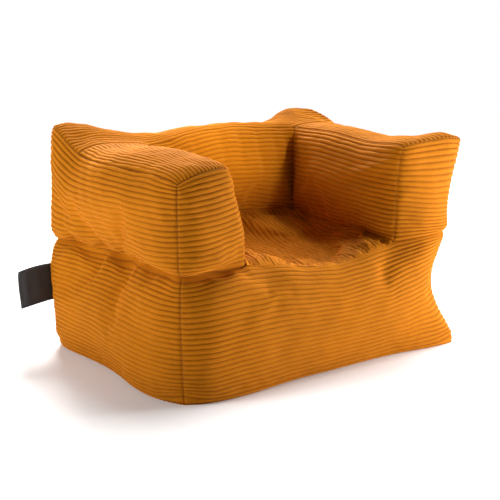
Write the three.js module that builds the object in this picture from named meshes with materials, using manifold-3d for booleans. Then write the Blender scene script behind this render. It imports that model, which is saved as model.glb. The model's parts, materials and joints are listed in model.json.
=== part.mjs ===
// Bean bag armchair in wide-wale corduroy: a base compartment with two arm compartments and a back
// compartment sewn on top of it, an inner bag of beads in each compartment, a zip low on the back
// and a blank loop label in the rear left corner seam.
//
// Millimetres. +X is the chair's width, -Y its front, +Z up. The origin is on the floor, in the
// middle of the bottom panel. Every fabric piece is first laid out in a plain box-shaped chair, and
// settle() then moves its points to where beads, gravity and seams bring the cloth.
import * as THREE from "three";
import { mergeVertices } from "three/addons/utils/BufferGeometryUtils.js";
import Module from "manifold-3d";

const wasm = await Module();
wasm.setup();

// ---- driving dimensions -------------------------------------------------------------------------
const WIDTH = 950; // over the side panels
const DEPTH = 670; // over the front and back panels
const CREASE_HEIGHT = 332; // the seam between the base and the arms, and the seat's edge
const ARM_TOP = 590; // the arms' top seams at their front ends
const ARM_WIDTH = 210;
const BACK_THICKNESS = 170;

const CLOTH = 3; // corduroy with its pile
const LINER = 2; // inner bag, with the slack of its seams
const GAP = 1; // between neighbouring pieces of cloth
const LINER_SPACE = 8; // between the cover and an inner bag
const LINER_HEADROOM = 14; // above the base's inner bag, where the seat sags

// How far the filled cover moves away from the plain box.
const WALL_BULGE = 14; // outwards, in the middle of the base's walls
const ARM_BULGE = 12;
const BACK_BULGE = 16;
const CORNER_PINCH = 26; // inwards, half way up the base's corner seams
const CREASE_TUCK = 20; // inwards, at the crease
const CREASE_REACH = 45; // how far above and below it the tuck is felt
const SEAT_SAG = 40;
const SEAT_EDGE_SAG = 26; // the front edge of the seat
const ARM_CROWN = 8;
const ARM_EDGE_SAG = 16; // the arms' long top seams, between their ends
const BACK_RISE = 20; // the back's top, above the arms'
const BACK_EAR = 32; // the back's top corners, above its middle

const ZIP_HEIGHT = 70; // the zip's centre line above the floor
const ZIP_LENGTH = 576;
const ZIP_BAND = 92; // up to here the back panel stays flat, so that the zip is straight
const ZIP_MOUTH = 8; // half the height of the slot between the folded edges
const SLIDER_LENGTH = 14;
const SLIDER_PARKED = -272; // where the slider rests, at the closed end
const PULL_LENGTH = 33;

const LABEL_HEIGHT = 110; // width of the label's tape
const LABEL_REACH = 104; // how far the loop stands out of the seam
const LABEL_TAPE = 1.4;
const LABEL_LOOP = 15; // how wide the loop opens
const LABEL_FOOT = 138; // the tape's lower edge above the floor
const LABEL_DROOP = 16;

// ---- worked out from them -----------------------------------------------------------------------
const SIDE = WIDTH / 2;
const FRONT = -DEPTH / 2;
const REAR = DEPTH / 2;
const ARM_INNER = SIDE - ARM_WIDTH; // distance of an arm's inner face from the middle
const ARM_MIDDLE = SIDE - ARM_WIDTH / 2;
const BACK_INNER = REAR - BACK_THICKNESS;
const BACK_MIDDLE = REAR - BACK_THICKNESS / 2;
const ARM_HALF_LENGTH = (BACK_INNER - FRONT) / 2;
const ARM_CENTRE_Y = (BACK_INNER + FRONT) / 2;
const INSIDE = CLOTH + GAP; // from a wall's outer face to the edge of the panel that meets it
const RING_FOOT = CREASE_HEIGHT + CLOTH / 2 + GAP; // lower edge of the inner arm and back panels

// Grid lines shared by all pieces, so that neighbours bend at the same places.
const { clamp, lerp, smoothstep } = THREE.MathUtils;
const spread = (from, to, cells) =>
  Array.from({ length: cells }, (_, i) => lerp(from, to, i / cells));
const mirrored = (lines) => [...lines.filter((v) => v > 0).map((v) => -v).reverse(), ...lines];
const FINE = {
  x: mirrored([...spread(0, ARM_INNER, 3), ...spread(ARM_INNER, SIDE, 3)]),
  y: [...spread(FRONT, BACK_INNER, 6), ...spread(BACK_INNER, REAR, 3)],
  z: [...spread(0, CREASE_HEIGHT, 5), ...spread(CREASE_HEIGHT, ARM_TOP, 5)],
};
const COARSE = {
  x: mirrored([0, (ARM_INNER * 2) / 3, ARM_INNER, ARM_MIDDLE]),
  y: [...spread(FRONT, BACK_INNER, 3), lerp(FRONT, BACK_INNER, 5 / 6), BACK_INNER, BACK_MIDDLE],
  z: FINE.z,
};

// ---- how the plain box settles ------------------------------------------------------------------
const squareOff = (v) => Math.max(0, 1 - v * v);

/** Moves one point of the plain box chair to its place in the filled chair. */
function settle(x, y, z) {
  const acrossX = clamp(x / SIDE, -1, 1);
  const acrossY = clamp(y / REAR, -1, 1);
  const side = Math.sign(x);
  const inArm = clamp((Math.abs(x) - ARM_MIDDLE) / (ARM_WIDTH / 2), -1, 1);
  const inBack = clamp((y - BACK_MIDDLE) / (BACK_THICKNESS / 2), -1, 1);
  const cornerX = smoothstep(Math.abs(acrossX), 0.62, 1);
  const cornerY = smoothstep(Math.abs(acrossY), 0.62, 1);
  const low = z < CREASE_HEIGHT;
  const up = clamp((z - CREASE_HEIGHT) / (ARM_TOP - CREASE_HEIGHT), 0, 1);
  const belly = low ? Math.sin((Math.PI * z) / CREASE_HEIGHT) : Math.sin(Math.PI * up);
  const tuck = CREASE_TUCK * Math.exp(-(((z - CREASE_HEIGHT) / CREASE_REACH) ** 2));
  // The base moves only near its walls; above it, an arm and the back swell about their own middles.
  const ring = smoothstep(z / CREASE_HEIGHT, 0.8, 1);

  // Left and right.
  const swellX = low
    ? belly * (WALL_BULGE * squareOff(acrossY) - CORNER_PINCH * cornerY)
    : belly * ARM_BULGE * squareOff(acrossY);
  const armShare = Math.abs(x) < ARM_INNER ? -Math.abs(x) / ARM_INNER : inArm;
  const dx = side * lerp(cornerX, armShare, ring) * (swellX - tuck);

  // Front and back. The lowest part of the back wall stays flat for the zip.
  const rearward = y > BACK_MIDDLE;
  const flatBand = low && rearward ? smoothstep(z, ZIP_BAND, 2 * ZIP_BAND) : 1;
  const swellOver = Math.abs(x) < ARM_INNER ? squareOff(x / ARM_INNER) : 0.6 * squareOff(inArm);
  const swellY = low
    ? belly * flatBand * (WALL_BULGE * squareOff(acrossX) - CORNER_PINCH * cornerX)
    : belly * BACK_BULGE * (rearward ? squareOff(acrossX) : swellOver);
  const frontShare = y < ARM_CENTRE_Y ? -cornerY : -smoothstep(y, ARM_CENTRE_Y, BACK_INNER);
  const ringShareY = y > BACK_INNER ? inBack : frontShare;
  const dy = lerp(Math.sign(y) * cornerY, ringShareY, ring) * (swellY - tuck);

  // Up and down.
  const inSeat = squareOff(clamp(x / ARM_INNER, -1, 1));
  const seatDepth = lerp(SEAT_EDGE_SAG, SEAT_SAG, smoothstep(y, FRONT, ARM_CENTRE_Y));
  const sag = inSeat * seatDepth * (1 - smoothstep(y, BACK_INNER - 60, BACK_INNER));
  const alongArm = clamp((y - ARM_CENTRE_Y) / ARM_HALF_LENGTH, -1, 1);
  const armTop = ARM_CROWN * squareOff(inArm) - ARM_EDGE_SAG * squareOff(alongArm) * inArm ** 2;
  const backTop = BACK_RISE + BACK_EAR * acrossX ** 4;
  const top = lerp(armTop, backTop, smoothstep(y, BACK_INNER - 45, BACK_INNER + 45));
  const dz = low ? (-sag * z) / CREASE_HEIGHT : lerp(-sag, top, up);

  return [x + dx, y + dy, z + dz];
}

// ---- making solids ------------------------------------------------------------------------------
const linesBetween = (low, high, lines) => [
  low,
  ...lines.filter((v) => v > low + GAP && v < high - GAP),
  high,
];

/** A closed block from corner `low` to corner `high`, cut along the grid and, by default, settled. */
function clothBlock(low, high, grid = FINE, place = settle) {
  const cuts = ["x", "y", "z"].map((axis, k) => linesBetween(low[k], high[k], grid[axis]));
  const points = [];
  for (let axis = 0; axis < 3; axis++) {
    const [u, v] = [(axis + 1) % 3, (axis + 2) % 3];
    for (const outward of [false, true]) {
      for (let i = 0; i + 1 < cuts[u].length; i++) {
        for (let j = 0; j + 1 < cuts[v].length; j++) {
          const corner = (a, b) => {
            const p = [0, 0, 0];
            p[axis] = outward ? high[axis] : low[axis];
            p[u] = cuts[u][i + a];
            p[v] = cuts[v][j + b];
            return place(...p);
          };
          const [p00, p10, p11, p01] = [corner(0, 0), corner(1, 0), corner(1, 1), corner(0, 1)];
          const faces = outward ? [p00, p10, p11, p00, p11, p01] : [p00, p11, p10, p00, p01, p11];
          points.push(...faces.flat());
        }
      }
    }
  }
  const geometry = new THREE.BufferGeometry();
  geometry.setAttribute("position", new THREE.Float32BufferAttribute(points, 3));
  return mergeVertices(geometry, 1e-3);
}

/** A plain box between two corners, which does not settle. */
const plainBlock = (low, high) => clothBlock(low, high, { x: [], y: [], z: [] }, (...p) => p);

function toSolid(geometry) {
  const bare = geometry.clone();
  bare.deleteAttribute("normal");
  bare.deleteAttribute("uv");
  const merged = mergeVertices(bare, 1e-3);
  return new wasm.Manifold(
    new wasm.Mesh({
      numProp: 3,
      vertProperties: merged.attributes.position.array,
      triVerts: new Uint32Array(merged.index.array),
    }),
  );
}

function toGeometry(solid) {
  const mesh = solid.getMesh();
  const geometry = new THREE.BufferGeometry();
  geometry.setAttribute("position", new THREE.BufferAttribute(mesh.vertProperties, 3));
  geometry.setIndex(new THREE.BufferAttribute(mesh.triVerts, 1));
  return geometry;
}

const cut = (geometry, ...tools) =>
  toGeometry(tools.reduce((left, tool) => left.subtract(toSolid(tool)), toSolid(geometry)));
const join = (first, ...others) =>
  toGeometry(others.reduce((whole, part) => whole.add(toSolid(part)), toSolid(first)));

// ---- materials ----------------------------------------------------------------------------------
const finish = (color, roughness, metalness = 0) => ({ color, roughness, metalness });
const FINISHES = {
  corduroy: finish(0xd9821f, 0.95),
  liner: finish(0xe9e6de, 0.9),
  beads: finish(0xf6f6f4, 0.8),
  label: finish(0x35373b, 0.75),
  zipTape: finish(0xb96a17, 0.85),
  zipCoil: finish(0x8f5212, 0.45),
  metal: finish(0x4b4743, 0.35, 0.9),
};

const chair = new THREE.Group();
function add(name, geometry, finishName) {
  const mesh = new THREE.Mesh(geometry, new THREE.MeshStandardMaterial(FINISHES[finishName]));
  mesh.name = name;
  chair.add(mesh);
  return mesh;
}

// A pair of pieces, the chair's left one (-X) and its right one (+X).
const SIDES = [
  ["left", -1],
  ["right", 1],
];
/** Corners of a box on one side, from distances to the middle plane. */
function onSide(sign, [near, y0, z0], [far, y1, z1]) {
  const [x0, x1] = sign > 0 ? [near, far] : [-far, -near];
  return [
    [x0, y0, z0],
    [x1, y1, z1],
  ];
}

// ---- cover: base --------------------------------------------------------------------------------
const baseTop = CREASE_HEIGHT - GAP / 2;
add("base_front_panel", clothBlock([-SIDE, FRONT, 0], [SIDE, FRONT + CLOTH, baseTop]), "corduroy");
for (const [name, sign] of SIDES) {
  const [low, high] = onSide(sign, [SIDE - CLOTH, FRONT + INSIDE, 0], [SIDE, REAR - INSIDE, baseTop]);
  add(`base_side_panel_${name}`, clothBlock(low, high), "corduroy");
}
const bottomEdge = SIDE - INSIDE;
add(
  "base_bottom_panel",
  clothBlock([-bottomEdge, FRONT + INSIDE, 0], [bottomEdge, REAR - INSIDE, CLOTH]),
  "corduroy",
);
const seatEdge = ARM_INNER - GAP;
add(
  "seat_panel",
  clothBlock([-seatEdge, FRONT + INSIDE, CREASE_HEIGHT - CLOTH], [seatEdge, BACK_INNER - GAP, CREASE_HEIGHT]),
  "corduroy",
);

// The back of the base is two panels, whose edges fold back from the zip and meet beyond its ends.
const zipMouth = plainBlock(
  [-ZIP_LENGTH / 2 - 3, REAR - 2 * INSIDE, ZIP_HEIGHT - ZIP_MOUTH],
  [ZIP_LENGTH / 2 + 3, REAR + INSIDE, ZIP_HEIGHT + ZIP_MOUTH],
);
const backLayer = REAR - CLOTH;
add(
  "base_back_panel",
  cut(clothBlock([-SIDE, backLayer, ZIP_HEIGHT + GAP / 2], [SIDE, REAR, baseTop]), zipMouth),
  "corduroy",
);
add(
  "base_back_hem",
  cut(clothBlock([-SIDE, backLayer, 0], [SIDE, REAR, ZIP_HEIGHT - GAP / 2]), zipMouth),
  "corduroy",
);

// ---- cover: arms --------------------------------------------------------------------------------
const armFoot = CREASE_HEIGHT + GAP / 2;
for (const [name, sign] of SIDES) {
  const armPanel = (near, far) => clothBlock(...onSide(sign, near, far));
  add(
    `arm_front_panel_${name}`,
    armPanel([ARM_INNER, FRONT, armFoot], [SIDE, FRONT + CLOTH, ARM_TOP]),
    "corduroy",
  );
  add(
    `arm_outer_panel_${name}`,
    armPanel([SIDE - CLOTH, FRONT + INSIDE, armFoot], [SIDE, REAR - INSIDE, ARM_TOP]),
    "corduroy",
  );
  add(
    `arm_inner_panel_${name}`,
    armPanel([ARM_INNER, FRONT + INSIDE, RING_FOOT], [ARM_INNER + CLOTH, BACK_INNER - GAP, ARM_TOP]),
    "corduroy",
  );
  add(
    `arm_top_panel_${name}`,
    armPanel(
      [ARM_INNER + INSIDE, FRONT + INSIDE, ARM_TOP - CLOTH],
      [SIDE - INSIDE, BACK_INNER + CLOTH, ARM_TOP],
    ),
    "corduroy",
  );
}

// ---- cover: back --------------------------------------------------------------------------------
add(
  "back_inner_panel",
  clothBlock([-seatEdge, BACK_INNER, RING_FOOT], [seatEdge, BACK_INNER + CLOTH, ARM_TOP]),
  "corduroy",
);
add("back_outer_panel", clothBlock([-SIDE, backLayer, armFoot], [SIDE, REAR, ARM_TOP]), "corduroy");
add(
  "back_top_panel",
  clothBlock(
    [-bottomEdge, BACK_INNER + INSIDE, ARM_TOP - CLOTH],
    [bottomEdge, REAR - INSIDE, ARM_TOP],
  ),
  "corduroy",
);

// ---- dividers caught in the crease seam -----------------------------------------------------------
const dividerLow = CREASE_HEIGHT - CLOTH / 2;
const dividerHigh = CREASE_HEIGHT + CLOTH / 2;
for (const [name, sign] of SIDES) {
  const [low, high] = onSide(
    sign,
    [ARM_INNER + GAP, FRONT + INSIDE, dividerLow],
    [SIDE - INSIDE, BACK_INNER - GAP, dividerHigh],
  );
  add(`arm_divider_${name}`, clothBlock(low, high), "liner");
}
add(
  "back_divider",
  clothBlock([-bottomEdge, BACK_INNER + GAP, dividerLow], [bottomEdge, REAR - INSIDE, dividerHigh]),
  "liner",
);

// ---- inner bags of beads --------------------------------------------------------------------------
const inset = (low, high, by) => [low.map((v) => v + by), high.map((v) => v - by)];

/** An inner bag with a filling mouth in its underside or rear, the strip that shuts it, and the beads. */
function beadBag(name, low, high, mouthLow, mouthHigh) {
  const hollow = inset(low, high, LINER);
  const mouth = clothBlock(mouthLow, mouthHigh, COARSE);
  add(`${name}_liner`, cut(clothBlock(low, high, COARSE), clothBlock(...hollow, COARSE), mouth), "liner");
  const thin = mouthHigh.map((v, k) => v - mouthLow[k]);
  const across = thin.indexOf(Math.min(...thin));
  const stripLow = mouthLow.map((v, k) => (k === across ? low[k] : v + GAP));
  const stripHigh = mouthHigh.map((v, k) => (k === across ? low[k] + LINER : v - GAP));
  add(`${name}_liner_closure`, clothBlock(stripLow, stripHigh, COARSE), "liner");
  add(`${name}_beads`, clothBlock(...inset(...hollow, GAP), COARSE), "beads");
}

const bagSide = SIDE - CLOTH - LINER_SPACE;
const bagFront = FRONT + CLOTH + LINER_SPACE;
const bagRear = REAR - CLOTH - LINER_SPACE;
const bagFoot = CREASE_HEIGHT + CLOTH / 2 + LINER_SPACE;
const bagTop = ARM_TOP - CLOTH - LINER_SPACE;
const MOUTH = 34; // the filling mouth's width
const through = (edge) => [edge - LINER / 2, edge + 1.5 * LINER]; // a cut through a wall that starts at edge

const [baseFoot, baseFootEnd] = through(CLOTH + LINER_SPACE);
beadBag(
  "base",
  [-bagSide, bagFront, CLOTH + LINER_SPACE],
  [bagSide, bagRear - LINER_SPACE, CREASE_HEIGHT - LINER_HEADROOM],
  [-ARM_INNER / 2, 0, baseFoot],
  [ARM_INNER / 2, MOUTH, baseFootEnd],
);
const [ringFoot, ringFootEnd] = through(bagFoot);
for (const [name, sign] of SIDES) {
  const [low, high] = onSide(
    sign,
    [ARM_INNER + CLOTH + LINER_SPACE, bagFront, bagFoot],
    [bagSide, BACK_INNER - LINER_SPACE, bagTop],
  );
  const mouth = onSide(
    sign,
    [ARM_MIDDLE - MOUTH / 2, ARM_CENTRE_Y - ARM_HALF_LENGTH / 2, ringFoot],
    [ARM_MIDDLE + MOUTH / 2, ARM_CENTRE_Y + ARM_HALF_LENGTH / 2, ringFootEnd],
  );
  beadBag(`arm_${name}`, low, high, ...mouth);
}
beadBag(
  "back",
  [-bagSide, BACK_INNER + CLOTH + LINER_SPACE, bagFoot],
  [bagSide, bagRear, bagTop],
  [-ARM_INNER / 2, BACK_MIDDLE - MOUTH / 2, ringFoot],
  [ARM_INNER / 2, BACK_MIDDLE + MOUTH / 2, ringFootEnd],
);

// ---- zip ------------------------------------------------------------------------------------------
const halfZip = ZIP_LENGTH / 2;
const tapeFace = REAR - CLOTH - GAP; // the tapes lie just inside the back panel
const TAPE = 1.2;
const COIL_GAP = 0.9; // from the centre line to each coil: the slot that the slider's web runs in
const COIL_HEIGHT = 3.3;
const COIL_DEPTH = 4;
const coilMiddle = tapeFace - TAPE / 2;

for (const [name, sign] of [
  ["upper", 1],
  ["lower", -1],
]) {
  const heights = (near, far) =>
    [ZIP_HEIGHT + sign * near, ZIP_HEIGHT + sign * far].sort((a, b) => a - b);
  const [tapeLow, tapeHigh] = heights(COIL_GAP + COIL_HEIGHT + 0.4, ZIP_MOUTH + 10);
  add(
    `zip_tape_${name}`,
    plainBlock([-halfZip, tapeFace - TAPE, tapeLow], [halfZip, tapeFace, tapeHigh]),
    "zipTape",
  );
  const [coilLow, coilHigh] = heights(COIL_GAP, COIL_GAP + COIL_HEIGHT);
  const bevel = COIL_HEIGHT / 4;
  const section = new THREE.Shape([
    new THREE.Vector2(-COIL_DEPTH / 2, coilLow + bevel),
    new THREE.Vector2(-COIL_DEPTH / 2 + bevel, coilLow),
    new THREE.Vector2(COIL_DEPTH / 2 - bevel, coilLow),
    new THREE.Vector2(COIL_DEPTH / 2, coilLow + bevel),
    new THREE.Vector2(COIL_DEPTH / 2, coilHigh - bevel),
    new THREE.Vector2(COIL_DEPTH / 2 - bevel, coilHigh),
    new THREE.Vector2(-COIL_DEPTH / 2 + bevel, coilHigh),
    new THREE.Vector2(-COIL_DEPTH / 2, coilHigh - bevel),
  ]);
  // The section's first axis becomes Y and its second Z; the extrusion runs along X.
  const coil = new THREE.ExtrudeGeometry(section, { depth: ZIP_LENGTH, bevelEnabled: false });
  coil.applyMatrix4(
    new THREE.Matrix4().set(0, 0, 1, -halfZip, 1, 0, 0, coilMiddle, 0, 1, 0, 0, 0, 0, 0, 1),
  );
  add(`zip_coil_${name}`, coil, "zipCoil");
}

// A metal stop beyond each end of the coils.
const STOP = 2.4;
const stopHalf = COIL_GAP + COIL_HEIGHT;
for (const [name, sign] of SIDES) {
  const [low, high] = onSide(
    sign,
    [halfZip + 0.3, coilMiddle - COIL_DEPTH / 2, ZIP_HEIGHT - stopHalf],
    [halfZip + 0.3 + STOP, coilMiddle + COIL_DEPTH / 2, ZIP_HEIGHT + stopHalf],
  );
  add(`zip_stop_${name}`, plainBlock(low, high), "metal");
}

// The slider: an outer and an inner plate joined by the web between the coils, flanges over the
// coils' outer sides, and a bridge that holds the pull.
const PLATE = 1.6;
const PLATE_HALF = 6.6;
const coilFront = coilMiddle + COIL_DEPTH / 2;
const coilRear = coilMiddle - COIL_DEPTH / 2;
const RUNNING = 0.5; // clearance round the coils
const plateFace = coilFront + RUNNING + PLATE; // the outer plate's outer face
const BRIDGE_REACH = 4.6; // half the bridge's length
const BRIDGE_HEIGHT = 4;
const BRIDGE_BAR = 1.4;
const BRIDGE_HALF = 1.3;
const halfSlider = SLIDER_LENGTH / 2;

const fromSlider = (low, high) =>
  plainBlock(
    [SLIDER_PARKED + low[0], low[1], ZIP_HEIGHT + low[2]],
    [SLIDER_PARKED + high[0], high[1], ZIP_HEIGHT + high[2]],
  );
const flangeNear = COIL_GAP + COIL_HEIGHT + RUNNING;
const flanges = [1, -1].flatMap((sign) => {
  const [near, far] = sign > 0 ? [flangeNear, PLATE_HALF] : [-PLATE_HALF, -flangeNear];
  return [
    fromSlider([-halfSlider, tapeFace + RUNNING, near], [halfSlider, plateFace - PLATE / 2, far]),
    fromSlider(
      [-halfSlider, coilRear - RUNNING - PLATE / 2, near],
      [halfSlider, tapeFace - TAPE - RUNNING, far],
    ),
  ];
});
add(
  "zip_slider",
  join(
    fromSlider([-halfSlider, plateFace - PLATE, -PLATE_HALF], [halfSlider, plateFace, PLATE_HALF]),
    fromSlider(
      [-halfSlider, coilRear - RUNNING - PLATE, -PLATE_HALF],
      [halfSlider, coilRear - RUNNING, PLATE_HALF],
    ),
    fromSlider([-4, coilRear - PLATE, -0.5], [4, plateFace - PLATE / 2, 0.5]),
    ...flanges,
    fromSlider(
      [-BRIDGE_REACH, plateFace - PLATE / 2, -BRIDGE_HALF],
      [-BRIDGE_REACH + BRIDGE_BAR, plateFace + BRIDGE_HEIGHT, BRIDGE_HALF],
    ),
    fromSlider(
      [BRIDGE_REACH - BRIDGE_BAR, plateFace - PLATE / 2, -BRIDGE_HALF],
      [BRIDGE_REACH, plateFace + BRIDGE_HEIGHT, BRIDGE_HALF],
    ),
    fromSlider(
      [-BRIDGE_REACH, plateFace + BRIDGE_HEIGHT - BRIDGE_BAR, -BRIDGE_HALF],
      [BRIDGE_REACH, plateFace + BRIDGE_HEIGHT, BRIDGE_HALF],
    ),
  ),
  "metal",
);

// The pull: a flat tab with a window round the bridge. Its end bar, under the bridge, is the pivot.
const PULL_THICKNESS = 1.2;
const PULL_HALF = 4.4;
const PIVOT_OFFSET = 1.4; // the pivot's height over the outer plate
const pull = new THREE.Shape();
pull.moveTo(-PULL_THICKNESS / 2, -PULL_HALF);
pull.lineTo(PULL_LENGTH - PULL_HALF, -PULL_HALF);
pull.absarc(PULL_LENGTH - PULL_HALF, 0, PULL_HALF, -Math.PI / 2, Math.PI / 2);
pull.lineTo(-PULL_THICKNESS / 2, PULL_HALF);
pull.closePath();
const pullWindow = new THREE.Path();
pullWindow.moveTo(PULL_THICKNESS / 2, -BRIDGE_HALF - 0.9);
pullWindow.lineTo(PULL_THICKNESS / 2, BRIDGE_HALF + 0.9);
pullWindow.lineTo(BRIDGE_REACH + 3, BRIDGE_HALF + 0.9);
pullWindow.lineTo(BRIDGE_REACH + 3, -BRIDGE_HALF - 0.9);
pullWindow.closePath();
const pullHole = new THREE.Path();
pullHole.absarc(PULL_LENGTH - PULL_HALF, 0, PULL_HALF / 2, 0, 2 * Math.PI, true);
pull.holes.push(pullWindow, pullHole);
const tab = new THREE.ExtrudeGeometry(pull, {
  depth: PULL_THICKNESS,
  bevelEnabled: false,
  curveSegments: 8,
});
tab.translate(0, 0, -PULL_THICKNESS / 2);
tab.rotateX(Math.PI / 2);
const pullMesh = add("zip_pull", tab, "metal");
pullMesh.position.set(SLIDER_PARKED, plateFace + PIVOT_OFFSET, ZIP_HEIGHT);

// ---- loop label in the rear left corner seam --------------------------------------------------------
// Plan of the loop: out from the seam along one ply, round the fold and back along the other.
const LOOP_STEPS = 18;
const STITCHED = 3; // the plies are sewn together this far from the seam
const LABEL_SWING = 10; // how far the free end swings backwards

/** The tape's outer outline (sign +1) or inner outline (sign -1). */
function loopOutline(sign) {
  const start = sign < 0 ? STITCHED : 0;
  const end = LABEL_REACH + (sign * LABEL_TAPE) / 2;
  return Array.from({ length: LOOP_STEPS }, (_, i) => {
    const turn = (i / LOOP_STEPS) * 2 * Math.PI;
    const out = (1 - Math.cos(turn)) / 2; // 0 at the seam, 1 at the fold
    const open = (LABEL_LOOP * Math.sqrt(out) + sign * LABEL_TAPE) / 2;
    return new THREE.Vector2(-lerp(start, end, out), open * Math.sin(turn));
  });
}
const loop = new THREE.Shape(loopOutline(1));
loop.holes.push(new THREE.Path(loopOutline(-1).reverse()));
const tape = new THREE.ExtrudeGeometry(loop, { depth: LABEL_HEIGHT, steps: 3, bevelEnabled: false });

/** Where the corner seam is at a height: the panels are straight between their grid lines. */
function cornerSeam(height) {
  const above = FINE.z.findIndex((z) => z > height);
  const [low, high] = [FINE.z[above - 1], FINE.z[above]];
  const [foot, head] = [settle(-SIDE, REAR, low), settle(-SIDE, REAR, high)];
  const share = (height - low) / (high - low);
  return [lerp(foot[0], head[0], share), lerp(foot[1], head[1], share)];
}

// The sewn end follows the corner seam; the free end droops and swings backwards.
const spots = tape.attributes.position;
for (let i = 0; i < spots.count; i++) {
  const out = -spots.getX(i);
  const free = (out / LABEL_REACH) ** 2;
  const height = LABEL_FOOT + spots.getZ(i);
  const [seamX, seamY] = cornerSeam(height);
  const y = seamY - CLOTH + spots.getY(i) + LABEL_SWING * free;
  spots.setXYZ(i, seamX - GAP - out, y, height - LABEL_DROOP * free);
}
add("side_label", tape, "label");

export default chair;
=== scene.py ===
"""Bean bag armchair in jumbo cord: a sewn cover over inner bags of beads, with a zip and a loop label.

The cover is laid out as flat panels on a box, sewn edge to edge, blown out by the beads' pressure
in a cloth simulation, and then each panel is made again at full detail with its ribs.
Sizes are in metres. +X is to the right of someone facing the chair's front, -Y is the front.
"""

import json
import math

import bpy
import numpy as np
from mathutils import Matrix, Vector


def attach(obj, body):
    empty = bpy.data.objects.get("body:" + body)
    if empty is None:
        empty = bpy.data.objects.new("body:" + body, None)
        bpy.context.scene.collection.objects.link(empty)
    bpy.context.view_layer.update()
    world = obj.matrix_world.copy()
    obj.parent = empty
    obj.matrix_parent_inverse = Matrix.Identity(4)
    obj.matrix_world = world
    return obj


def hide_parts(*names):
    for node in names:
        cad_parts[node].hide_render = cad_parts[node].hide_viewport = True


bl_info = {
    "name": "Bean Bag Armchair",
    "version": (1, 0, 0),
    "blender": (4, 5, 0),
    "location": "View3D > Sidebar > Bean Bag",
    "description": "Builds a corduroy bean bag armchair with its inner bags, zip and label",
    "category": "Object",
}

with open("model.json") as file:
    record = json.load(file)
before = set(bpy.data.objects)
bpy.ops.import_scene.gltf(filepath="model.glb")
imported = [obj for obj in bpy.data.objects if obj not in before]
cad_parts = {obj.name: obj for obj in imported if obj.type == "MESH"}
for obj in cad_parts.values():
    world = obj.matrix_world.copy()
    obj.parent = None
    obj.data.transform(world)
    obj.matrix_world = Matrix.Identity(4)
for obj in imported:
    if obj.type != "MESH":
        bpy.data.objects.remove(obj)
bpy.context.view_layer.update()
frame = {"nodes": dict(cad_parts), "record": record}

# What one operator hands on to the next: the sewn cover, the seat's creases, the lines to stitch
# along and the materials.
workroom = {}
TOUCHING = 1e-6  # closer than this counts as the same place


# ---- sizes and colours --------------------------------------------------------------------------


def length(name, default, description):
    return bpy.props.FloatProperty(
        name=name, default=default, description=description, unit="LENGTH", subtype="DISTANCE", precision=4
    )


def colour(name, default, description):
    return bpy.props.FloatVectorProperty(
        name=name, default=default, description=description, subtype="COLOR", size=3, min=0.0, max=1.0
    )


class BeanChairSizes(bpy.types.PropertyGroup):
    width: length("Width", 0.95, "Across the two arms")
    depth: length("Depth", 0.67, "From the front to the back of the chair")
    crease: length("Crease height", 0.332, "Height of the seam between the base and the arms")
    arm_top: length("Arm height", 0.59, "Height of the arms")
    arm_width: length("Arm width", 0.21, "Width of one arm at the crease")
    back_thickness: length("Back thickness", 0.17, "Depth of the back at the crease")
    back_rise: length("Back rise", 0.02, "How far the back's rear seam stands over the arms")
    ear_rise: length("Ear rise", 0.035, "How far the back's outer corners stand over its middle")
    base_slack: length("Base slack", 0.016, "Extra height cut into the base, which the filling takes up")
    arm_slack: length("Arm slack", 0.034, "Extra height cut into the arms, which the filling takes up")
    arm_taper: length("Arm taper", 0.02, "How much narrower an arm is at its top")
    back_taper: length("Back taper", 0.02, "How much thinner the back is at its top")
    cell: length("Cloth cell", 0.0165, "Spacing of the simulated cloth")
    rib: length("Rib spacing", 0.0128, "From one rib of the cord to the next")
    rib_depth: length("Rib depth", 0.0039, "From a rib's crest to the groove")
    seam_depth: length("Seam depth", 0.0012, "How far a seam pulls the cloth in")
    zip_height: length("Zip height", 0.07, "Height of the zip's middle over the floor")
    zip_length: length("Zip length", 0.576, "Length of the row of teeth")
    tooth: length("Tooth spacing", 0.003, "From one zip tooth to the next on the same side")
    stitch: length("Stitch pitch", 0.0055, "From one stitch to the next")
    label_width: length("Label width", 0.11, "Width of the label's tape")
    label_reach: length("Label reach", 0.104, "How far the loop label stands out of the seam")
    label_foot: length("Label foot", 0.138, "Height of the label's lower edge over the floor")
    pressure: bpy.props.FloatProperty(
        name="Filling pressure", default=3.0, min=0.0, description="How hard the beads push the cover out"
    )
    divider_shrink: bpy.props.FloatProperty(
        name="Divider shrink",
        default=0.05,
        min=0.0,
        max=0.3,
        description="How much smaller the dividers are cut",
    )
    frames: bpy.props.IntProperty(
        name="Filling steps", default=20, min=1, description="Steps of the simulation that fills the cover"
    )


class BeanChairColours(bpy.types.PropertyGroup):
    pile: colour("Pile", (0.43, 0.135, 0.0025), "Crests of the cord's ribs")
    # The groove colour is painted shade: it darkens the grooves between the ribs, where shade falls.
    groove: colour("Groove", (0.12, 0.026, 0.0002), "Grooves between the ribs")
    thread: colour("Thread", (0.38, 0.13, 0.008), "Sewing thread")
    liner: colour("Liner", (0.8, 0.78, 0.73), "Inner bags and dividers")
    beads: colour("Beads", (0.9, 0.9, 0.88), "Foam beads")
    tape: colour("Zip tape", (0.48, 0.15, 0.012), "Woven zip tape")
    teeth: colour("Zip teeth", (0.27, 0.085, 0.009), "Moulded zip teeth")
    metal: colour("Metal", (0.075, 0.068, 0.06), "Slider, pull and stops")
    label: colour("Label", (0.021, 0.022, 0.024), "Woven loop label")
    floor: colour("Floor", (0.97, 0.97, 0.97), "Studio floor")


# ---- small helpers ------------------------------------------------------------------------------


def smooth(value, low, high):
    t = np.clip((np.asarray(value, float) - low) / (high - low), 0.0, 1.0)
    return t * t * (3.0 - 2.0 * t)


def fade(gap, reach, power=2):
    """1 at no gap, falling off to 0 over the reach."""
    return np.exp(-((gap / reach) ** power))


def need(condition, message):
    if not condition:
        raise RuntimeError(message)


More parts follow.
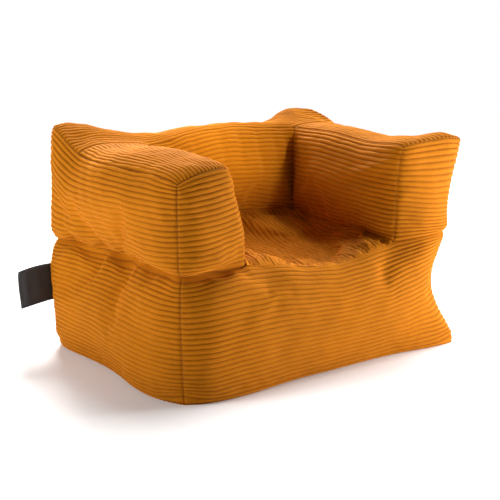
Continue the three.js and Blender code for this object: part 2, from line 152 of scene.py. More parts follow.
def mesh_piece(name, points, faces, material, body="cover", smooth_faces=True):
    """A finished mesh object at the origin that rides on a body. faces is an (n, 3 or 4) array."""
    faces = np.asarray(faces, dtype=np.int32)
    mesh = bpy.data.meshes.new(name)
    mesh.vertices.add(len(points))
    mesh.vertices.foreach_set("co", np.asarray(points, dtype=np.float32).ravel())
    corners = faces.shape[1]
    mesh.loops.add(faces.size)
    mesh.loops.foreach_set("vertex_index", faces.ravel())
    mesh.polygons.add(len(faces))
    mesh.polygons.foreach_set("loop_start", np.arange(len(faces), dtype=np.int32) * corners)
    mesh.polygons.foreach_set("use_smooth", np.full(len(faces), smooth_faces))
    mesh.update(calc_edges=True)
    need(not mesh.validate(), f"{name} has faces that can't be")
    mesh.materials.append(material)
    piece = bpy.data.objects.new(name, mesh)
    bpy.context.scene.collection.objects.link(piece)
    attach(piece, body)
    return piece


def give_uv(piece, uv):
    """uv holds one pair for each vertex."""
    layer = piece.data.uv_layers.new(name="cloth")
    index = np.zeros(len(piece.data.loops), dtype=np.int32)
    piece.data.loops.foreach_get("vertex_index", index)
    layer.data.foreach_set("uv", np.asarray(uv, dtype=np.float32)[index].ravel())


def give_attribute(piece, name, values):
    layer = piece.data.attributes.new(name=name, type="FLOAT", domain="POINT")
    layer.data.foreach_set("value", np.asarray(values, dtype=np.float32).ravel())


def quads_of(index):
    """Faces of a grid of point numbers, with normals along row direction x column direction."""
    corners = [index[:-1, :-1], index[1:, :-1], index[1:, 1:], index[:-1, 1:]]
    return np.stack(corners, axis=-1).reshape(-1, 4)


def grid_faces(rows, columns):
    return quads_of(np.arange(rows * columns).reshape(rows, columns))


def closed_sheet(outer, inner):
    """Points and faces of a thin closed body between two like grids, outer first."""
    rows, columns = outer.shape[:2]
    count = rows * columns
    index = np.arange(count).reshape(rows, columns)
    face = grid_faces(rows, columns)
    rim = np.concatenate([index[:-1, 0], index[-1, :-1], index[:0:-1, -1], index[0, :0:-1]])
    after = np.roll(rim, -1)
    wall = np.stack([rim, rim + count, after + count, after], axis=-1)
    return (
        np.concatenate([outer.reshape(-1, 3), inner.reshape(-1, 3)]),
        np.concatenate([face, face[:, ::-1] + count, wall[:, ::-1]]),
    )


def grid_normals(points):
    along = np.gradient(points, axis=0)
    across = np.gradient(points, axis=1)
    normal = np.cross(along, across)
    return normal / np.maximum(np.linalg.norm(normal, axis=-1, keepdims=True), 1e-9)


def spline_rows(knots, at):
    """The matrix that samples a smooth curve, through values at the knots, at the wanted places."""
    knots, at = np.asarray(knots, float), np.asarray(at, float)
    count = len(knots)
    left = np.clip(np.searchsorted(knots, at, side="right") - 1, 0, count - 2)
    t = (at - knots[left]) / (knots[left + 1] - knots[left])
    weights = np.stack(
        [
            -0.5 * t + t**2 - 0.5 * t**3,
            1.0 - 2.5 * t**2 + 1.5 * t**3,
            0.5 * t + 2.0 * t**2 - 1.5 * t**3,
            -0.5 * t**2 + 0.5 * t**3,
        ],
        axis=-1,
    )
    matrix = np.zeros((len(at), count + 2))
    rows = np.arange(len(at))
    for step in range(4):
        np.add.at(matrix, (rows, left + step), weights[:, step])
    # Beyond each end the curve runs on straight.
    matrix[:, 1] += 2.0 * matrix[:, 0]
    matrix[:, 2] -= matrix[:, 0]
    matrix[:, -2] += 2.0 * matrix[:, -1]
    matrix[:, -3] -= matrix[:, -1]
    return matrix[:, 1:-1]


def resample(grid, first_knots, first_at, second_knots, second_at):
    rows, columns = spline_rows(first_knots, first_at), spline_rows(second_knots, second_at)
    return np.einsum("ai,ijk,bj->abk", rows, grid, columns)


# ---- the cover's cutting plan -------------------------------------------------------------------


def grid_lines(stops, cell):
    lines = [stops[0]]
    for low, high in zip(stops, stops[1:]):
        steps = max(1, round((high - low) / cell))
        lines += [low + (high - low) * (step + 1) / steps for step in range(steps)]
    return np.array(lines)


def lines_between(lines, direction, low, high):
    return [v for v in lines[direction] if low - TOUCHING <= v <= high + TOUCHING]


class Cut:
    """One panel of the cover as it lies on the plain box."""

    def __init__(self, name, across, at, first, second, outward, ribs_along, soft=()):
        self.name = name
        self.axis = "xyz".index(across)  # the box direction that the panel faces
        self.at = at
        self.first = first  # (direction, low, high)
        self.second = second
        self.outward = outward  # +1 where first x second points out of the chair
        self.ribs_along = ribs_along
        self.soft = soft  # stretches with no visible seam: (edge, from, to)


def cutting_plan(sizes):
    half, front, rear = sizes.width / 2, -sizes.depth / 2, sizes.depth / 2
    inner, back = half - sizes.arm_width, rear - sizes.back_thickness
    crease, top = sizes.crease, sizes.arm_top
    x, y, z = (lambda low, high, d=d: (d, low, high) for d in range(3))
    low, high, whole = z(0, crease), z(crease, top), x(-half, half)
    top_soft, foot_soft = (("second_high", -inner, inner),), (("second_low", -inner, inner),)
    side_soft = (("second_high", front, back),)
    cuts = [
        Cut("base_front_panel", "y", front, whole, low, 1, 0, top_soft),
        Cut("base_side_panel_left", "x", -half, y(front, rear), low, -1, 1),
        Cut("base_side_panel_right", "x", half, y(front, rear), low, 1, 1),
        Cut("base_bottom_panel", "z", 0, whole, y(front, rear), -1, 0),
        Cut("seat_panel", "z", crease, x(-inner, inner), y(front, back), 1, 1, foot_soft),
        Cut("base_back_panel", "y", rear, whole, z(sizes.zip_height, crease), -1, 0),
        Cut("base_back_hem", "y", rear, whole, z(0, sizes.zip_height), -1, 0),
        Cut("back_inner_panel", "y", back, x(-inner, inner), high, 1, 0, top_soft),
        Cut("back_outer_panel", "y", rear, whole, high, -1, 0),
        Cut("back_top_panel", "z", top, whole, y(back, rear), 1, 0, foot_soft),
    ]
    for side, sign in (("left", -1), ("right", 1)):
        arm = x(-half, -inner) if sign < 0 else x(inner, half)
        outer_edge = ("first_low" if sign < 0 else "first_high", front, back)
        cuts += [
            Cut(f"arm_front_panel_{side}", "y", front, arm, high, 1, 0),
            Cut(f"arm_outer_panel_{side}", "x", sign * half, y(front, rear), high, sign, 1, side_soft),
            Cut(f"arm_inner_panel_{side}", "x", sign * inner, y(front, back), high, -sign, 1),
            Cut(f"arm_top_panel_{side}", "z", top, arm, y(front, back), 1, 1, (outer_edge,)),
        ]
    return cuts


class SewnCover:
    """All panels sewn into one coarse mesh, with the dividers as nets across the crease."""

    def __init__(self, sizes):
        half, front, rear = sizes.width / 2, -sizes.depth / 2, sizes.depth / 2
        inner, back = half - sizes.arm_width, rear - sizes.back_thickness
        self.sizes = sizes
        self.lines = [
            grid_lines((-half, -inner, inner, half), sizes.cell),
            grid_lines((front, back, rear), sizes.cell),
            grid_lines((0.0, sizes.zip_height, sizes.crease, sizes.arm_top), sizes.cell),
        ]
        self.cuts = cutting_plan(sizes)
        self._known, points, faces = {}, [], []
        self._points = points
        self.grids = {}
        for cut in self.cuts:
            index = self._lay(cut.axis, cut.at, cut.first, cut.second)
            self.grids[cut.name] = index
            quads = quads_of(index)
            faces.append(quads if cut.outward > 0 else quads[:, ::-1])
        self.nets = {
            "arm_divider_left": self._lay(2, sizes.crease, (0, -half, -inner), (1, front, back)),
            "arm_divider_right": self._lay(2, sizes.crease, (0, inner, half), (1, front, back)),
            "back_divider": self._lay(2, sizes.crease, (0, -half, half), (1, back, rear)),
        }
        self.plain = np.array(points)
        self.faces = np.concatenate(faces)
        self.points = self.plain.copy()

    def _lay(self, axis, at, first, second):
        rows = lines_between(self.lines, *first)
        columns = lines_between(self.lines, *second)
        index = np.zeros((len(rows), len(columns)), int)
        for i, a in enumerate(rows):
            for j, b in enumerate(columns):
                point = [0.0, 0.0, 0.0]
                point[axis], point[first[0]], point[second[0]] = at, a, b
                key = tuple(round(v * 1e5) for v in point)
                if key not in self._known:
                    self._known[key] = len(self._points)
                    self._points.append(point)
                index[i, j] = self._known[key]
        return index

    def net_edges(self):
        pairs = set()
        for index in self.nets.values():
            for a, b in ((index[:-1], index[1:]), (index[:, :-1], index[:, 1:])):
                pairs |= {tuple(sorted(p)) for p in zip(a.ravel().tolist(), b.ravel().tolist())}
        around = np.concatenate([self.faces, self.faces[:, :1]], axis=1)
        sewn = {
            tuple(sorted(p))
            for k in range(4)
            for p in zip(around[:, k].tolist(), around[:, k + 1].tolist())
        }
        return sorted(pairs - sewn)

    def normals(self):
        """Normals that neighbouring panels share along their seams."""
        a, b, c, d = (self.points[self.faces[:, k]] for k in range(4))
        face = np.cross(c - a, d - b)
        total = np.zeros_like(self.points)
        for k in range(4):
            np.add.at(total, self.faces[:, k], face)
        return total / np.maximum(np.linalg.norm(total, axis=1, keepdims=True), 1e-12)

    def relax(self, weights, rounds):
        """Evens out the cloth by moving each point towards its neighbours' middle."""
        around = np.concatenate([self.faces, self.faces[:, :1]], axis=1)
        ends = np.concatenate([around[:, k : k + 2] for k in range(4)])
        ends = np.unique(np.sort(ends, axis=1), axis=0)
        count = np.bincount(ends.ravel(), minlength=len(self.points))[:, None]
        for _ in range(rounds):
            total = np.zeros_like(self.points)
            np.add.at(total, ends[:, 0], self.points[ends[:, 1]])
            np.add.at(total, ends[:, 1], self.points[ends[:, 0]])
            self.points += weights[:, None] * (total / np.maximum(count, 1) - self.points) * (count > 0)


def shape_pattern(cover):
    """Cuts the panels to the chair's own outline: a higher back with ears, arms that narrow upwards."""
    sizes = cover.sizes
    x, y, z = cover.plain.T
    half, back = sizes.width / 2, sizes.depth / 2 - sizes.back_thickness
    inner = half - sizes.arm_width
    up = np.clip((z - sizes.crease) / (sizes.arm_top - sizes.crease), 0, 1)
    behind = np.clip((y - back) / sizes.back_thickness, 0, 1)
    cover.points[:, 2] += sizes.base_slack * np.clip(z / sizes.crease, 0, 1) + sizes.arm_slack * up
    cover.points[:, 2] += behind * up * (sizes.back_rise + sizes.ear_rise * (np.abs(x) / half) ** 3)
    in_arm = np.clip(1 - (np.abs(x) - inner) / sizes.arm_width, 0, 1)
    across = np.where(np.abs(x) < inner, np.abs(x) / inner, in_arm)
    cover.points[:, 0] += np.sign(x) * across * up * sizes.arm_taper
    in_back = np.where(y < back, 0, 1 - behind)
    cover.points[:, 1] += in_back * up * sizes.back_taper


def zip_band(cover):
    """1 round the zip, where the cloth is kept flat, fading out over the cloth round it."""
    x, y, z = cover.plain.T
    wide = cover.sizes.zip_length / 2 + 0.03
    behind = smooth(y, 0.2, cover.sizes.depth / 2)
    return behind * (1 - smooth(z, 0.1, 0.17)) * (1 - smooth(np.abs(x), wide, wide + 0.07))


# The cover's cord cloth while it is filled, and the seat's cloth while it drops.
FILLED_CLOTH = {
    "quality": 6,
    "mass": 0.25,
    "tension_stiffness": 400,
    "compression_stiffness": 150,
    "shear_stiffness": 80,
    "bending_stiffness": 2.0,
    "tension_damping": 10,
    "compression_damping": 10,
    "shear_damping": 10,
    "bending_damping": 1.0,
    "air_damping": 3.0,
    "vertex_group_mass": "held",
    "pin_stiffness": 1.0,
    "use_pressure": True,
    "vertex_group_pressure": "pushed",
    "vertex_group_shrink": "caught",
    "shrink_min": 0.0,
}
DROPPED_CLOTH = {
    "quality": 8,
    "mass": 0.05,
    "tension_stiffness": 80,
    "compression_stiffness": 80,
    "shear_stiffness": 20,
    "bending_stiffness": 0.6,
    "air_damping": 2.0,
    "vertex_group_mass": "held",
    "pin_stiffness": 1.0,
    "shrink_min": -0.06,
}
DROP_STEPS = 40
SEAT_DEPTH = 0.05  # how far sitting has pressed the beads down in the middle
BED_GAP = 0.008  # from the seat's flat cloth down to the rim of the bed
BED_CLEARANCE = 0.002


def loose_object(name, points, edges, faces):
    """An object that only the simulation uses."""
    mesh = bpy.data.meshes.new(name)
    mesh.from_pydata(points, edges, faces)
    thing = bpy.data.objects.new(name, mesh)
    bpy.context.scene.collection.objects.link(thing)
    return thing


def mark_points(thing, name, numbers):
    thing.vertex_groups.new(name=name).add(numbers, 1.0, "REPLACE")


def make_cloth(thing, name, values, frames):
    cloth = thing.modifiers.new(name, "CLOTH")
    for setting, value in values.items():
        setattr(cloth.settings, setting, value)
    cloth.point_cache.frame_start, cloth.point_cache.frame_end = 1, frames
    return cloth


def blow_up(cover):
    """Fills the sewn cover: cloth simulation with pressure, the bottom and the zip's band held still."""
    sizes = cover.sizes
    form = loose_object("cover_form", cover.points.tolist(), cover.net_edges(), cover.faces.tolist())
    on_floor = cover.plain[:, 2] < TOUCHING
    mark_points(form, "held", np.flatnonzero(on_floor | (zip_band(cover) > 0.99)).tolist())
    seat = cover.grids["seat_panel"][1:-1, 1:-1].ravel()
    mark_points(form, "pushed", np.setdiff1d(np.arange(len(cover.plain)), seat).tolist())
    # The dividers are cut smaller than the box, so they draw the crease in.
    mark_points(form, "caught", sorted({int(i) for net in cover.nets.values() for i in net.ravel()}))
    cloth = make_cloth(form, "filling", FILLED_CLOTH, sizes.frames)
    cloth.settings.shrink_max = sizes.divider_shrink
    cloth.settings.uniform_pressure_force = sizes.pressure
    cloth.settings.effector_weights.gravity = 0.0
    cloth.collision_settings.use_collision = False
    cover.points = step_cloth(form, sizes.frames)


def step_cloth(form, frames):
    """Runs the cloth on an object, returns where its points end up, and removes the object."""
    scene = bpy.context.scene
    scene.frame_start, scene.frame_end = 1, frames
    for number in range(1, frames + 1):
        scene.frame_set(number)
    result = form.evaluated_get(bpy.context.evaluated_depsgraph_get())
    points = np.zeros(len(result.data.vertices) * 3, dtype=np.float32)
    result.data.vertices.foreach_get("co", points)
    mesh = form.data
    bpy.data.objects.remove(form)
    bpy.data.meshes.remove(mesh)
    scene.frame_set(1)
    return points.reshape(-1, 3).astype(float)


def sink_seat(cover):
    """Lets the seat's slack cloth drop onto the hollow that sitting leaves in the beads."""
    index = cover.grids["seat_panel"]
    points = cover.points[index]
    rows, columns = index.shape
    knots_a, knots_b = np.arange(rows), np.arange(columns)
    fine_a, fine_b = np.linspace(0, rows - 1, 2 * rows - 1), np.linspace(0, columns - 1, 2 * columns - 1)
    fine = resample(points, knots_a, fine_a, knots_b, fine_b)
    form = loose_object("seat_form", fine.reshape(-1, 3).tolist(), [], grid_faces(*fine.shape[:2]).tolist())
    number = np.arange(fine.shape[0] * fine.shape[1]).reshape(fine.shape[:2])
    edge = np.concatenate([number[0], number[-1], number[:, 0], number[:, -1]])
    mark_points(form, "held", np.unique(edge).tolist())
    across = np.linspace(-1, 1, fine.shape[0])[:, None]
    along = np.linspace(-1, 1, fine.shape[1])[None, :]
    dish = fine.copy()
    dish[..., 2] -= BED_GAP + SEAT_DEPTH * (1 - across**2) * (1 - np.abs(along) ** 3)
    bed = loose_object("bead_bed", dish.reshape(-1, 3).tolist(), [], grid_faces(*dish.shape[:2]).tolist())
    bed.modifiers.new("rests_on", "COLLISION")
    bed.collision.thickness_outer = BED_CLEARANCE
    bed.collision.cloth_friction = 30.0
    cloth = make_cloth(form, "drop", DROPPED_CLOTH, DROP_STEPS)
    cloth.collision_settings.distance_min = BED_CLEARANCE
    cloth.collision_settings.use_self_collision = False
    sunk = step_cloth(form, DROP_STEPS).reshape(fine.shape)
    bed_mesh = bed.data
    bpy.data.objects.remove(bed)
    bpy.data.meshes.remove(bed_mesh)
    cover.points[index] = sunk[::2, ::2]
    creases = sunk - resample(cover.points[index], knots_a, fine_a, knots_b, fine_b)
    workroom["seat"] = (creases, fine_a, fine_b)


# How softly each edge of the filled chair is rounded: how far the rounding reaches, and how often
# the cloth is evened out there.
ROUNDING = {
    "arm_side": (0.05, 10),
    "upright": (0.06, 34),
    "arm_inner": (0.03, 3),
    "arm_end": (0.02, 1),
    "arm_nose": (0.03, 3),
    "back_front": (0.05, 8),
    "back_rear": (0.025, 2),
    "seat_front": (0.045, 8),
    "right_foot": (0.1, 34),
}


def dress_cover(cover):
    """Rounds the soft edges of the filled cover and evens out its cloth."""
    sizes = cover.sizes
    x, y, z = cover.plain.T
    half, rear = sizes.width / 2, sizes.depth / 2
    inner, back = half - sizes.arm_width, rear - sizes.back_thickness
    free = ~((z < TOUCHING) | (zip_band(cover) > 0.99))
    upper = z > sizes.crease + TOUCHING
    to_top = np.maximum(sizes.arm_top - z, 0)
    near = {
        "arm_side": np.hypot(half - np.abs(x), to_top) + (y > back) * 1.0 + ~upper * 1.0,
        "upright": np.hypot(half - np.abs(x), rear - np.abs(y)),
        "arm_inner": np.hypot(np.abs(x) - inner, to_top) + (y > back) * 1.0 + ~upper * 1.0,
        "arm_end": np.hypot(rear + y, to_top) + (np.abs(x) < inner) * 1.0 + ~upper * 1.0,
        "arm_nose": np.hypot(np.abs(x) - inner, rear + y) + ~upper * 1.0,
        "back_front": np.hypot(y - back, to_top) + ~upper * 1.0,
        "back_rear": np.hypot(rear - y, to_top) + ~upper * 1.0,
        "seat_front": np.hypot(rear + y, z - sizes.crease) + (np.abs(x) > inner) * 1.0,
        "right_foot": np.hypot(x - 0.82 * half, z - sizes.crease) + (y > 0.02 - rear) * 1.0,
    }
    floor = z < TOUCHING
    heights = cover.points[floor, 2].copy()
    cover.relax(0.3 * free, 1)
    for edge, distance in near.items():
        reach, rounds = ROUNDING[edge]
        may_move = free | floor if edge == "upright" else free
        cover.relax(0.5 * fade(distance, reach) * may_move, rounds)
    cover.points[floor, 2] = heights


# ---- materials ----------------------------------------------------------------------------------


class Finish:
    """A new material and short ways to add and join its nodes."""

    def __init__(self, name):
        self.material = bpy.data.materials.new(name)
        self.material.use_nodes = True
        self.tree = self.material.node_tree
        self.shader = self.tree.nodes["Principled BSDF"]

    def node(self, kind, inputs=None, **settings):
        node = self.tree.nodes.new(kind)
        for name, value in settings.items():
            setattr(node, name, value)
        for name, value in (inputs or {}).items():
            self.put(value, node.inputs[name])
        return node

    def put(self, value, socket):
        if isinstance(value, bpy.types.NodeSocket):
            self.tree.links.new(value, socket)
        else:
            socket.default_value = value

    def math(self, operation, *values):
        node = self.node("ShaderNodeMath", operation=operation)
        for value, socket in zip(values, node.inputs):
            self.put(value, socket)
        return node.outputs[0]

    def mix(self, factor, first, second):
        node = self.node("ShaderNodeMix", data_type="RGBA")
        self.put(factor, node.inputs[0])
        self.put(first, node.inputs[6])
        self.put(second, node.inputs[7])
        return node.outputs[2]

    def noise(self, where, scale, detail=2.0, roughness=0.5):
        inputs = {"Vector": where, "Scale": scale, "Detail": detail, "Roughness": roughness}
        return self.node("ShaderNodeTexNoise", inputs).outputs["Fac"]

    def stretched(self, where, scale):
        return self.node("ShaderNodeMapping", {"Vector": where, "Scale": scale}).outputs[0]

    def place(self):
        return self.node("ShaderNodeTexCoord").outputs["Object"]

    def bump(self, height, distance, strength=1.0, onto=None):
        inputs = {"Height": height, "Distance": distance, "Strength": strength}
        if onto is not None:
            inputs["Normal"] = onto
        return self.node("ShaderNodeBump", inputs).outputs[0]

    def shade(self, **values):
        for name, value in values.items():
            self.put(value, self.shader.inputs[name.replace("_", " ")])


def rgba(colour_value, gain=1.0):
    return tuple(min(1.0, c * gain) for c in colour_value) + (1.0,)


def cord_finish(colours):
    """Jumbo cord: grooves painted dark as shade, a brushed pile on the ribs, soft sheen."""
    finish = Finish("jumbo_cord")
    uv = finish.node("ShaderNodeUVMap", uv_map="cloth").outputs[0]
    rib = finish.node("ShaderNodeAttribute", attribute_name="rib").outputs["Fac"]
    place = finish.place()
    crest = finish.math("POWER", rib, 1.1)
    patches = finish.noise(place, 9.0, 3.0, 0.55)
    brushed = finish.noise(finish.stretched(uv, (60.0, 260.0, 1.0)), 1.0, 3.0, 0.6)
    tufts = finish.noise(finish.stretched(uv, (380.0, 480.0, 1.0)), 1.0, 3.0, 0.7)
    # The grooves get the groove colour, which is painted shade, and the rib crests the pile colour.
    body = finish.mix(crest, rgba(colours.groove), rgba(colours.pile))
    varied_tone = finish.mix(finish.math("MULTIPLY", brushed, 0.55), body, rgba(colours.pile, 1.25))
    cloudy = finish.math("MULTIPLY", patches, 0.3)
    speckled = finish.math("MULTIPLY", tufts, 1.3)
    value = finish.math("ADD", 0.22, finish.math("ADD", cloudy, speckled))
    shaded = finish.node("ShaderNodeHueSaturation", {"Color": varied_tone, "Value": value})
    pile = finish.bump(tufts, 0.0006, 0.7)
    lay = finish.bump(brushed, 0.0008, 0.5, pile)
    finish.shade(Base_Color=shaded.outputs[0], Roughness=0.82, Normal=lay)
    finish.shader.inputs["Sheen Weight"].default_value = 0.9
    finish.shader.inputs["Sheen Roughness"].default_value = 0.4
    finish.shader.inputs["Sheen Tint"].default_value = (1.0, 0.36, 0.03, 1.0)
    finish.shader.inputs["Specular IOR Level"].default_value = 0.08
    return finish.material


def woven_finish(name, base, pitch, sheen=0.1, roughness=0.85):
    """Plain weave on the piece's own threads, with painted shade in the weave's hollows and random specks."""
    finish = Finish(name)
    place = finish.place()
    threads = {"Vector": place, "Scale": 1.0 / pitch}
    over = finish.node("ShaderNodeTexWave", threads, bands_direction="DIAGONAL")
    specks = finish.noise(place, 700.0, 2.0)
    height = finish.math("ADD", over.outputs["Fac"], specks)
    # The weave's hollows are painted darker as shade and its thread crests painted lighter; the specks vary
    # the tone at random.
    varied_tone = finish.mix(finish.math("MULTIPLY", height, 0.4), rgba(base, 0.8), rgba(base, 1.2))
    finish.shade(Base_Color=varied_tone, Roughness=roughness, Normal=finish.bump(height, 0.0003, 0.6))
    finish.shader.inputs["Sheen Weight"].default_value = sheen
    return finish.material


def bead_finish(colours):
    """Loose foam beads seen as one heap, with painted shade in the gaps between the beads."""
    finish = Finish("foam_beads")
    cells = finish.node("ShaderNodeTexVoronoi", {"Vector": finish.place(), "Scale": 260.0})
    bead_height_and_shade = finish.math("SUBTRACT", 1.0, cells.outputs["Distance"])
    # The gaps between the beads are painted darker as shade; the same height also bumps each bead.
    tint = finish.mix(bead_height_and_shade, rgba(colours.beads, 0.6), rgba(colours.beads))
    finish.shade(Base_Color=tint, Roughness=0.7, Normal=finish.bump(bead_height_and_shade, 0.0015))
    return finish.material


def metal_finish(colours):
    """Dark plated metal with fine scratches and rubbed patches."""
    finish = Finish("dark_plated_metal")
    place = finish.place()
    scratches = finish.noise(finish.stretched(place, (4000.0, 400.0, 400.0)), 1.0, 2.0)
    rubbed = finish.noise(place, 300.0, 3.0)
    tint = finish.mix(finish.math("MULTIPLY", rubbed, 0.6), rgba(colours.metal), rgba(colours.metal, 2.4))
    finish.shade(
        Base_Color=tint,
        Roughness=finish.math("ADD", 0.25, finish.math("MULTIPLY", rubbed, 0.25)),
        Normal=finish.bump(scratches, 0.00005, 0.4),
    )
    finish.shader.inputs["Metallic"].default_value = 1.0
    return finish.material


def moulded_finish(colours):
    """Dyed moulded teeth."""
    finish = Finish("moulded_teeth")
    grain = finish.noise(finish.place(), 900.0, 2.0)
    tint = finish.mix(grain, rgba(colours.teeth, 0.8), rgba(colours.teeth, 1.3))
    finish.shade(Base_Color=tint, Roughness=0.42, Normal=finish.bump(grain, 0.00004, 0.4))
    return finish.material


def floor_finish(colours):
    """Matt studio floor with a faint unevenness."""
    finish = Finish("studio_floor")
    cloudy = finish.noise(finish.place(), 1.5, 2.0)
    tint = finish.mix(cloudy, rgba(colours.floor, 0.995), rgba(colours.floor, 1.0))
    finish.shade(Base_Color=tint, Roughness=0.9)
    finish.shader.inputs["Specular IOR Level"].default_value = 0.1
    return finish.material


def materials():
    """Each material once, whichever operator asks first."""
    made = workroom.setdefault("materials", {})
    if not made:
        colours = bpy.context.scene.bean_chair_colours
        made["corduroy"] = cord_finish(colours)
        made["liner"] = woven_finish("inner_cloth", colours.liner, 0.0012)
        made["beads"] = bead_finish(colours)
        made["zip_tape"] = woven_finish("zip_tape", colours.tape, 0.0008)
        made["zip_coil"] = moulded_finish(colours)
        made["zip_metal"] = metal_finish(colours)
        made["label"] = woven_finish("label_satin", colours.label, 0.0006, 0.04, 0.6)
        made["thread"] = woven_finish("sewing_thread", colours.thread, 0.0007)
        made["floor"] = floor_finish(colours)
    return made


# ---- the cover's panels at full detail ----------------------------------------------------------

# Where points lie across one rib, from groove to groove, and fewer of them under the chair.
RIB_PHASES = (-0.5, -0.4, -0.22, 0.0, 0.22, 0.4)
HIDDEN_PHASES = (-0.5, -0.25, 0.0, 0.25)
RIB_ROUNDNESS = 0.6  # below 1 the ribs are fuller and their grooves narrower
CLOTH_THICKNESS = 0.0022
FACING_GAP = 0.0002
EDGE_STEPS = (0.0, 0.0015, 0.003, 0.0055, 0.009)
ALONG_STEP = 0.009
FAR = 1.0  # stands for no such edge near by
SEAM_REACH = 0.0025
# Beside a seam the cloth stands up a little: how much, how far from the seam, and how wide.
PUFF, PUFF_PLACE, PUFF_REACH = 0.0008, 0.011, 0.006
PRESSED_REACH, PRESSED_DEPTH = 0.02, 0.0016
ZIP_STITCH_LINE = 0.012  # from the zip's folded edge to the stitches beside it
# Seams whose thread shows, by panel: the crease's seam lies too deep in its fold.
UPRIGHTS = ("first_low", "first_high")
STITCHED = {
    "base_front_panel": UPRIGHTS,
    "base_back_panel": UPRIGHTS,
    "base_back_hem": UPRIGHTS,
    "back_outer_panel": UPRIGHTS + ("second_high",),
    "arm_front_panel_left": UPRIGHTS + ("second_high",),
    "arm_front_panel_right": UPRIGHTS + ("second_high",),
    "arm_inner_panel_left": ("first_high", "second_high"),
    "arm_inner_panel_right": ("first_high", "second_high"),
    "arm_top_panel_left": ("second_high",),
    "arm_top_panel_right": ("second_high",),
}


def rib_samples(low, high, rib, phases):
    """Places across the ribs, closer where a rib turns down into its groove."""
    first, last = math.floor(low / rib), math.ceil(high / rib)
    places = np.array([(number + 0.5 + phase) * rib for number in range(first, last + 1) for phase in phases])
    places = places[(places > low + rib * 0.06) & (places < high - rib * 0.06)]
    return np.concatenate([[low], places, [high]])


def along_samples(low, high):
    count = max(2, round((high - low - 2 * EDGE_STEPS[-1]) / ALONG_STEP))
    middle = np.linspace(low + EDGE_STEPS[-1], high - EDGE_STEPS[-1], count + 1)
    edge = np.array(EDGE_STEPS[:-1])
    return np.concatenate([low + edge, middle, high - edge[::-1]])


def panel_surface(cover, cut, normals, along, across):
    """The panel's smooth surface, own normals and seam normals, sampled with rows along the ribs."""
    index = cover.grids[cut.name]
    knots = [np.array(lines_between(cover.lines, *span)) for span in (cut.first, cut.second)]
    grid, seam_normal = cover.points[index], normals[index]
    if cut.name == "seat_panel" and "seat" in workroom:
        creases, fine_a, fine_b = workroom["seat"]
        steps = [np.arange(len(k)) for k in knots]
        surface_source = creases + resample(grid, steps[0], fine_a, steps[1], fine_b)
        surface_knots = [np.interp(f, step, k) for f, step, k in zip((fine_a, fine_b), steps, knots)]
    else:
        surface_source, surface_knots = grid, knots
    flip = cut.ribs_along != cut.first[0]
    if flip:
        surface_source, seam_normal = surface_source.transpose(1, 0, 2), seam_normal.transpose(1, 0, 2)
        surface_knots, knots = surface_knots[::-1], knots[::-1]
    surface = resample(surface_source, surface_knots[0], along, surface_knots[1], across)
    shared = resample(seam_normal, knots[0], along, knots[1], across)
    shared /= np.maximum(np.linalg.norm(shared, axis=-1, keepdims=True), 1e-9)
    facing = cut.outward * (-1 if flip else 1)
    return surface, grid_normals(surface) * facing, shared, facing


def edge_names(flip):
    """The cut's own name for the edge at each end of the ribs and on each side of them."""
    ends, sides = ("second", "first") if flip else ("first", "second")
    return {
        "along_low": f"{ends}_low",
        "along_high": f"{ends}_high",
        "across_low": f"{sides}_low",
        "across_high": f"{sides}_high",
    }


def edge_distances(along, across):
    return {
        "along_low": (along - along[0])[:, None] + 0 * across,
        "along_high": (along[-1] - along)[:, None] + 0 * across,
        "across_low": 0 * along[:, None] + (across - across[0]),
        "across_high": 0 * along[:, None] + (across[-1] - across),
    }


def nearest_edges(cut, edges, distance, along, across):
    """Distance to the nearest edge, to the nearest visible seam and to the seat's soft front edge."""
    edge = np.full((len(along), len(across)), FAR)
    seam, seat_front = edge.copy(), edge.copy()
    for key, gap in distance.items():
        edge = np.minimum(edge, gap)
        runs = across[None, :] if key.startswith("along") else along[:, None]
        for soft_edge, low, high in cut.soft:
            if soft_edge == edges[key]:
                within = (runs >= low) & (runs <= high)
                if cut.name in ("seat_panel", "base_front_panel"):
                    seat_front = np.where(within, np.minimum(seat_front, gap), seat_front)
                gap = np.where(within, FAR, gap)
        seam = np.minimum(seam, gap)
    return edge, seam, seat_front


def drawn_in(cut, seam, distance, along, across, flip, sizes):
    """How far seams, folds and the crease draw the cloth in, and how thick its backing is."""
    pull_in = sizes.seam_depth * fade(seam, SEAM_REACH)
    if not cut.name.startswith("base_back"):
        pull_in = pull_in - PUFF * fade(seam - PUFF_PLACE, PUFF_REACH) - folds(cut, along, across, flip)
        return pull_in + crease_fold(cut, along, distance), CLOTH_THICKNESS
    pull_in = pull_in + crease_fold(cut, along, distance)
    zip_edge, mouth = zip_side(cut, distance), zip_mouth(along, sizes)[:, None]
    at_mouth = mouth * fade(zip_edge, 0.008)
    pull_in = pull_in * (1 - 0.75 * at_mouth)
    return pull_in, CLOTH_THICKNESS * (1 - mouth * fade(zip_edge, 0.014, 4))


def sway_of(cut, seam, along, across):
    """The cloth's gentle waves, and 1 where it is held still."""
    still = fade(seam, 0.02)
    if cut.name.startswith("base_back"):
        still = np.maximum(still, 1 - smooth(across, 0.1, 0.16)[None, :])
    sway = ripples(cut.name, along, across, 0.0012, 0.16, 0.05) * (1 - still)
    near_seam = fade(seam, 0.05) * (1 - still)
    sway += near_seam * ripples(cut.name + "_edge", along, across, 0.0014, 0.06, 0.03)
    if cut.name == "base_bottom_panel":
        sway *= 0.0  # it lies flat on the floor
    return sway, still


def add_seam_lines(cut, edges, thread):
    rims = {
        "along_low": thread[0],
        "along_high": thread[-1],
        "across_low": thread[:, 0],
        "across_high": thread[:, -1],
    }
    stitched = STITCHED.get(cut.name, ())
    workroom["seams"] += [rim for key, rim in rims.items() if edges[key] in stitched]


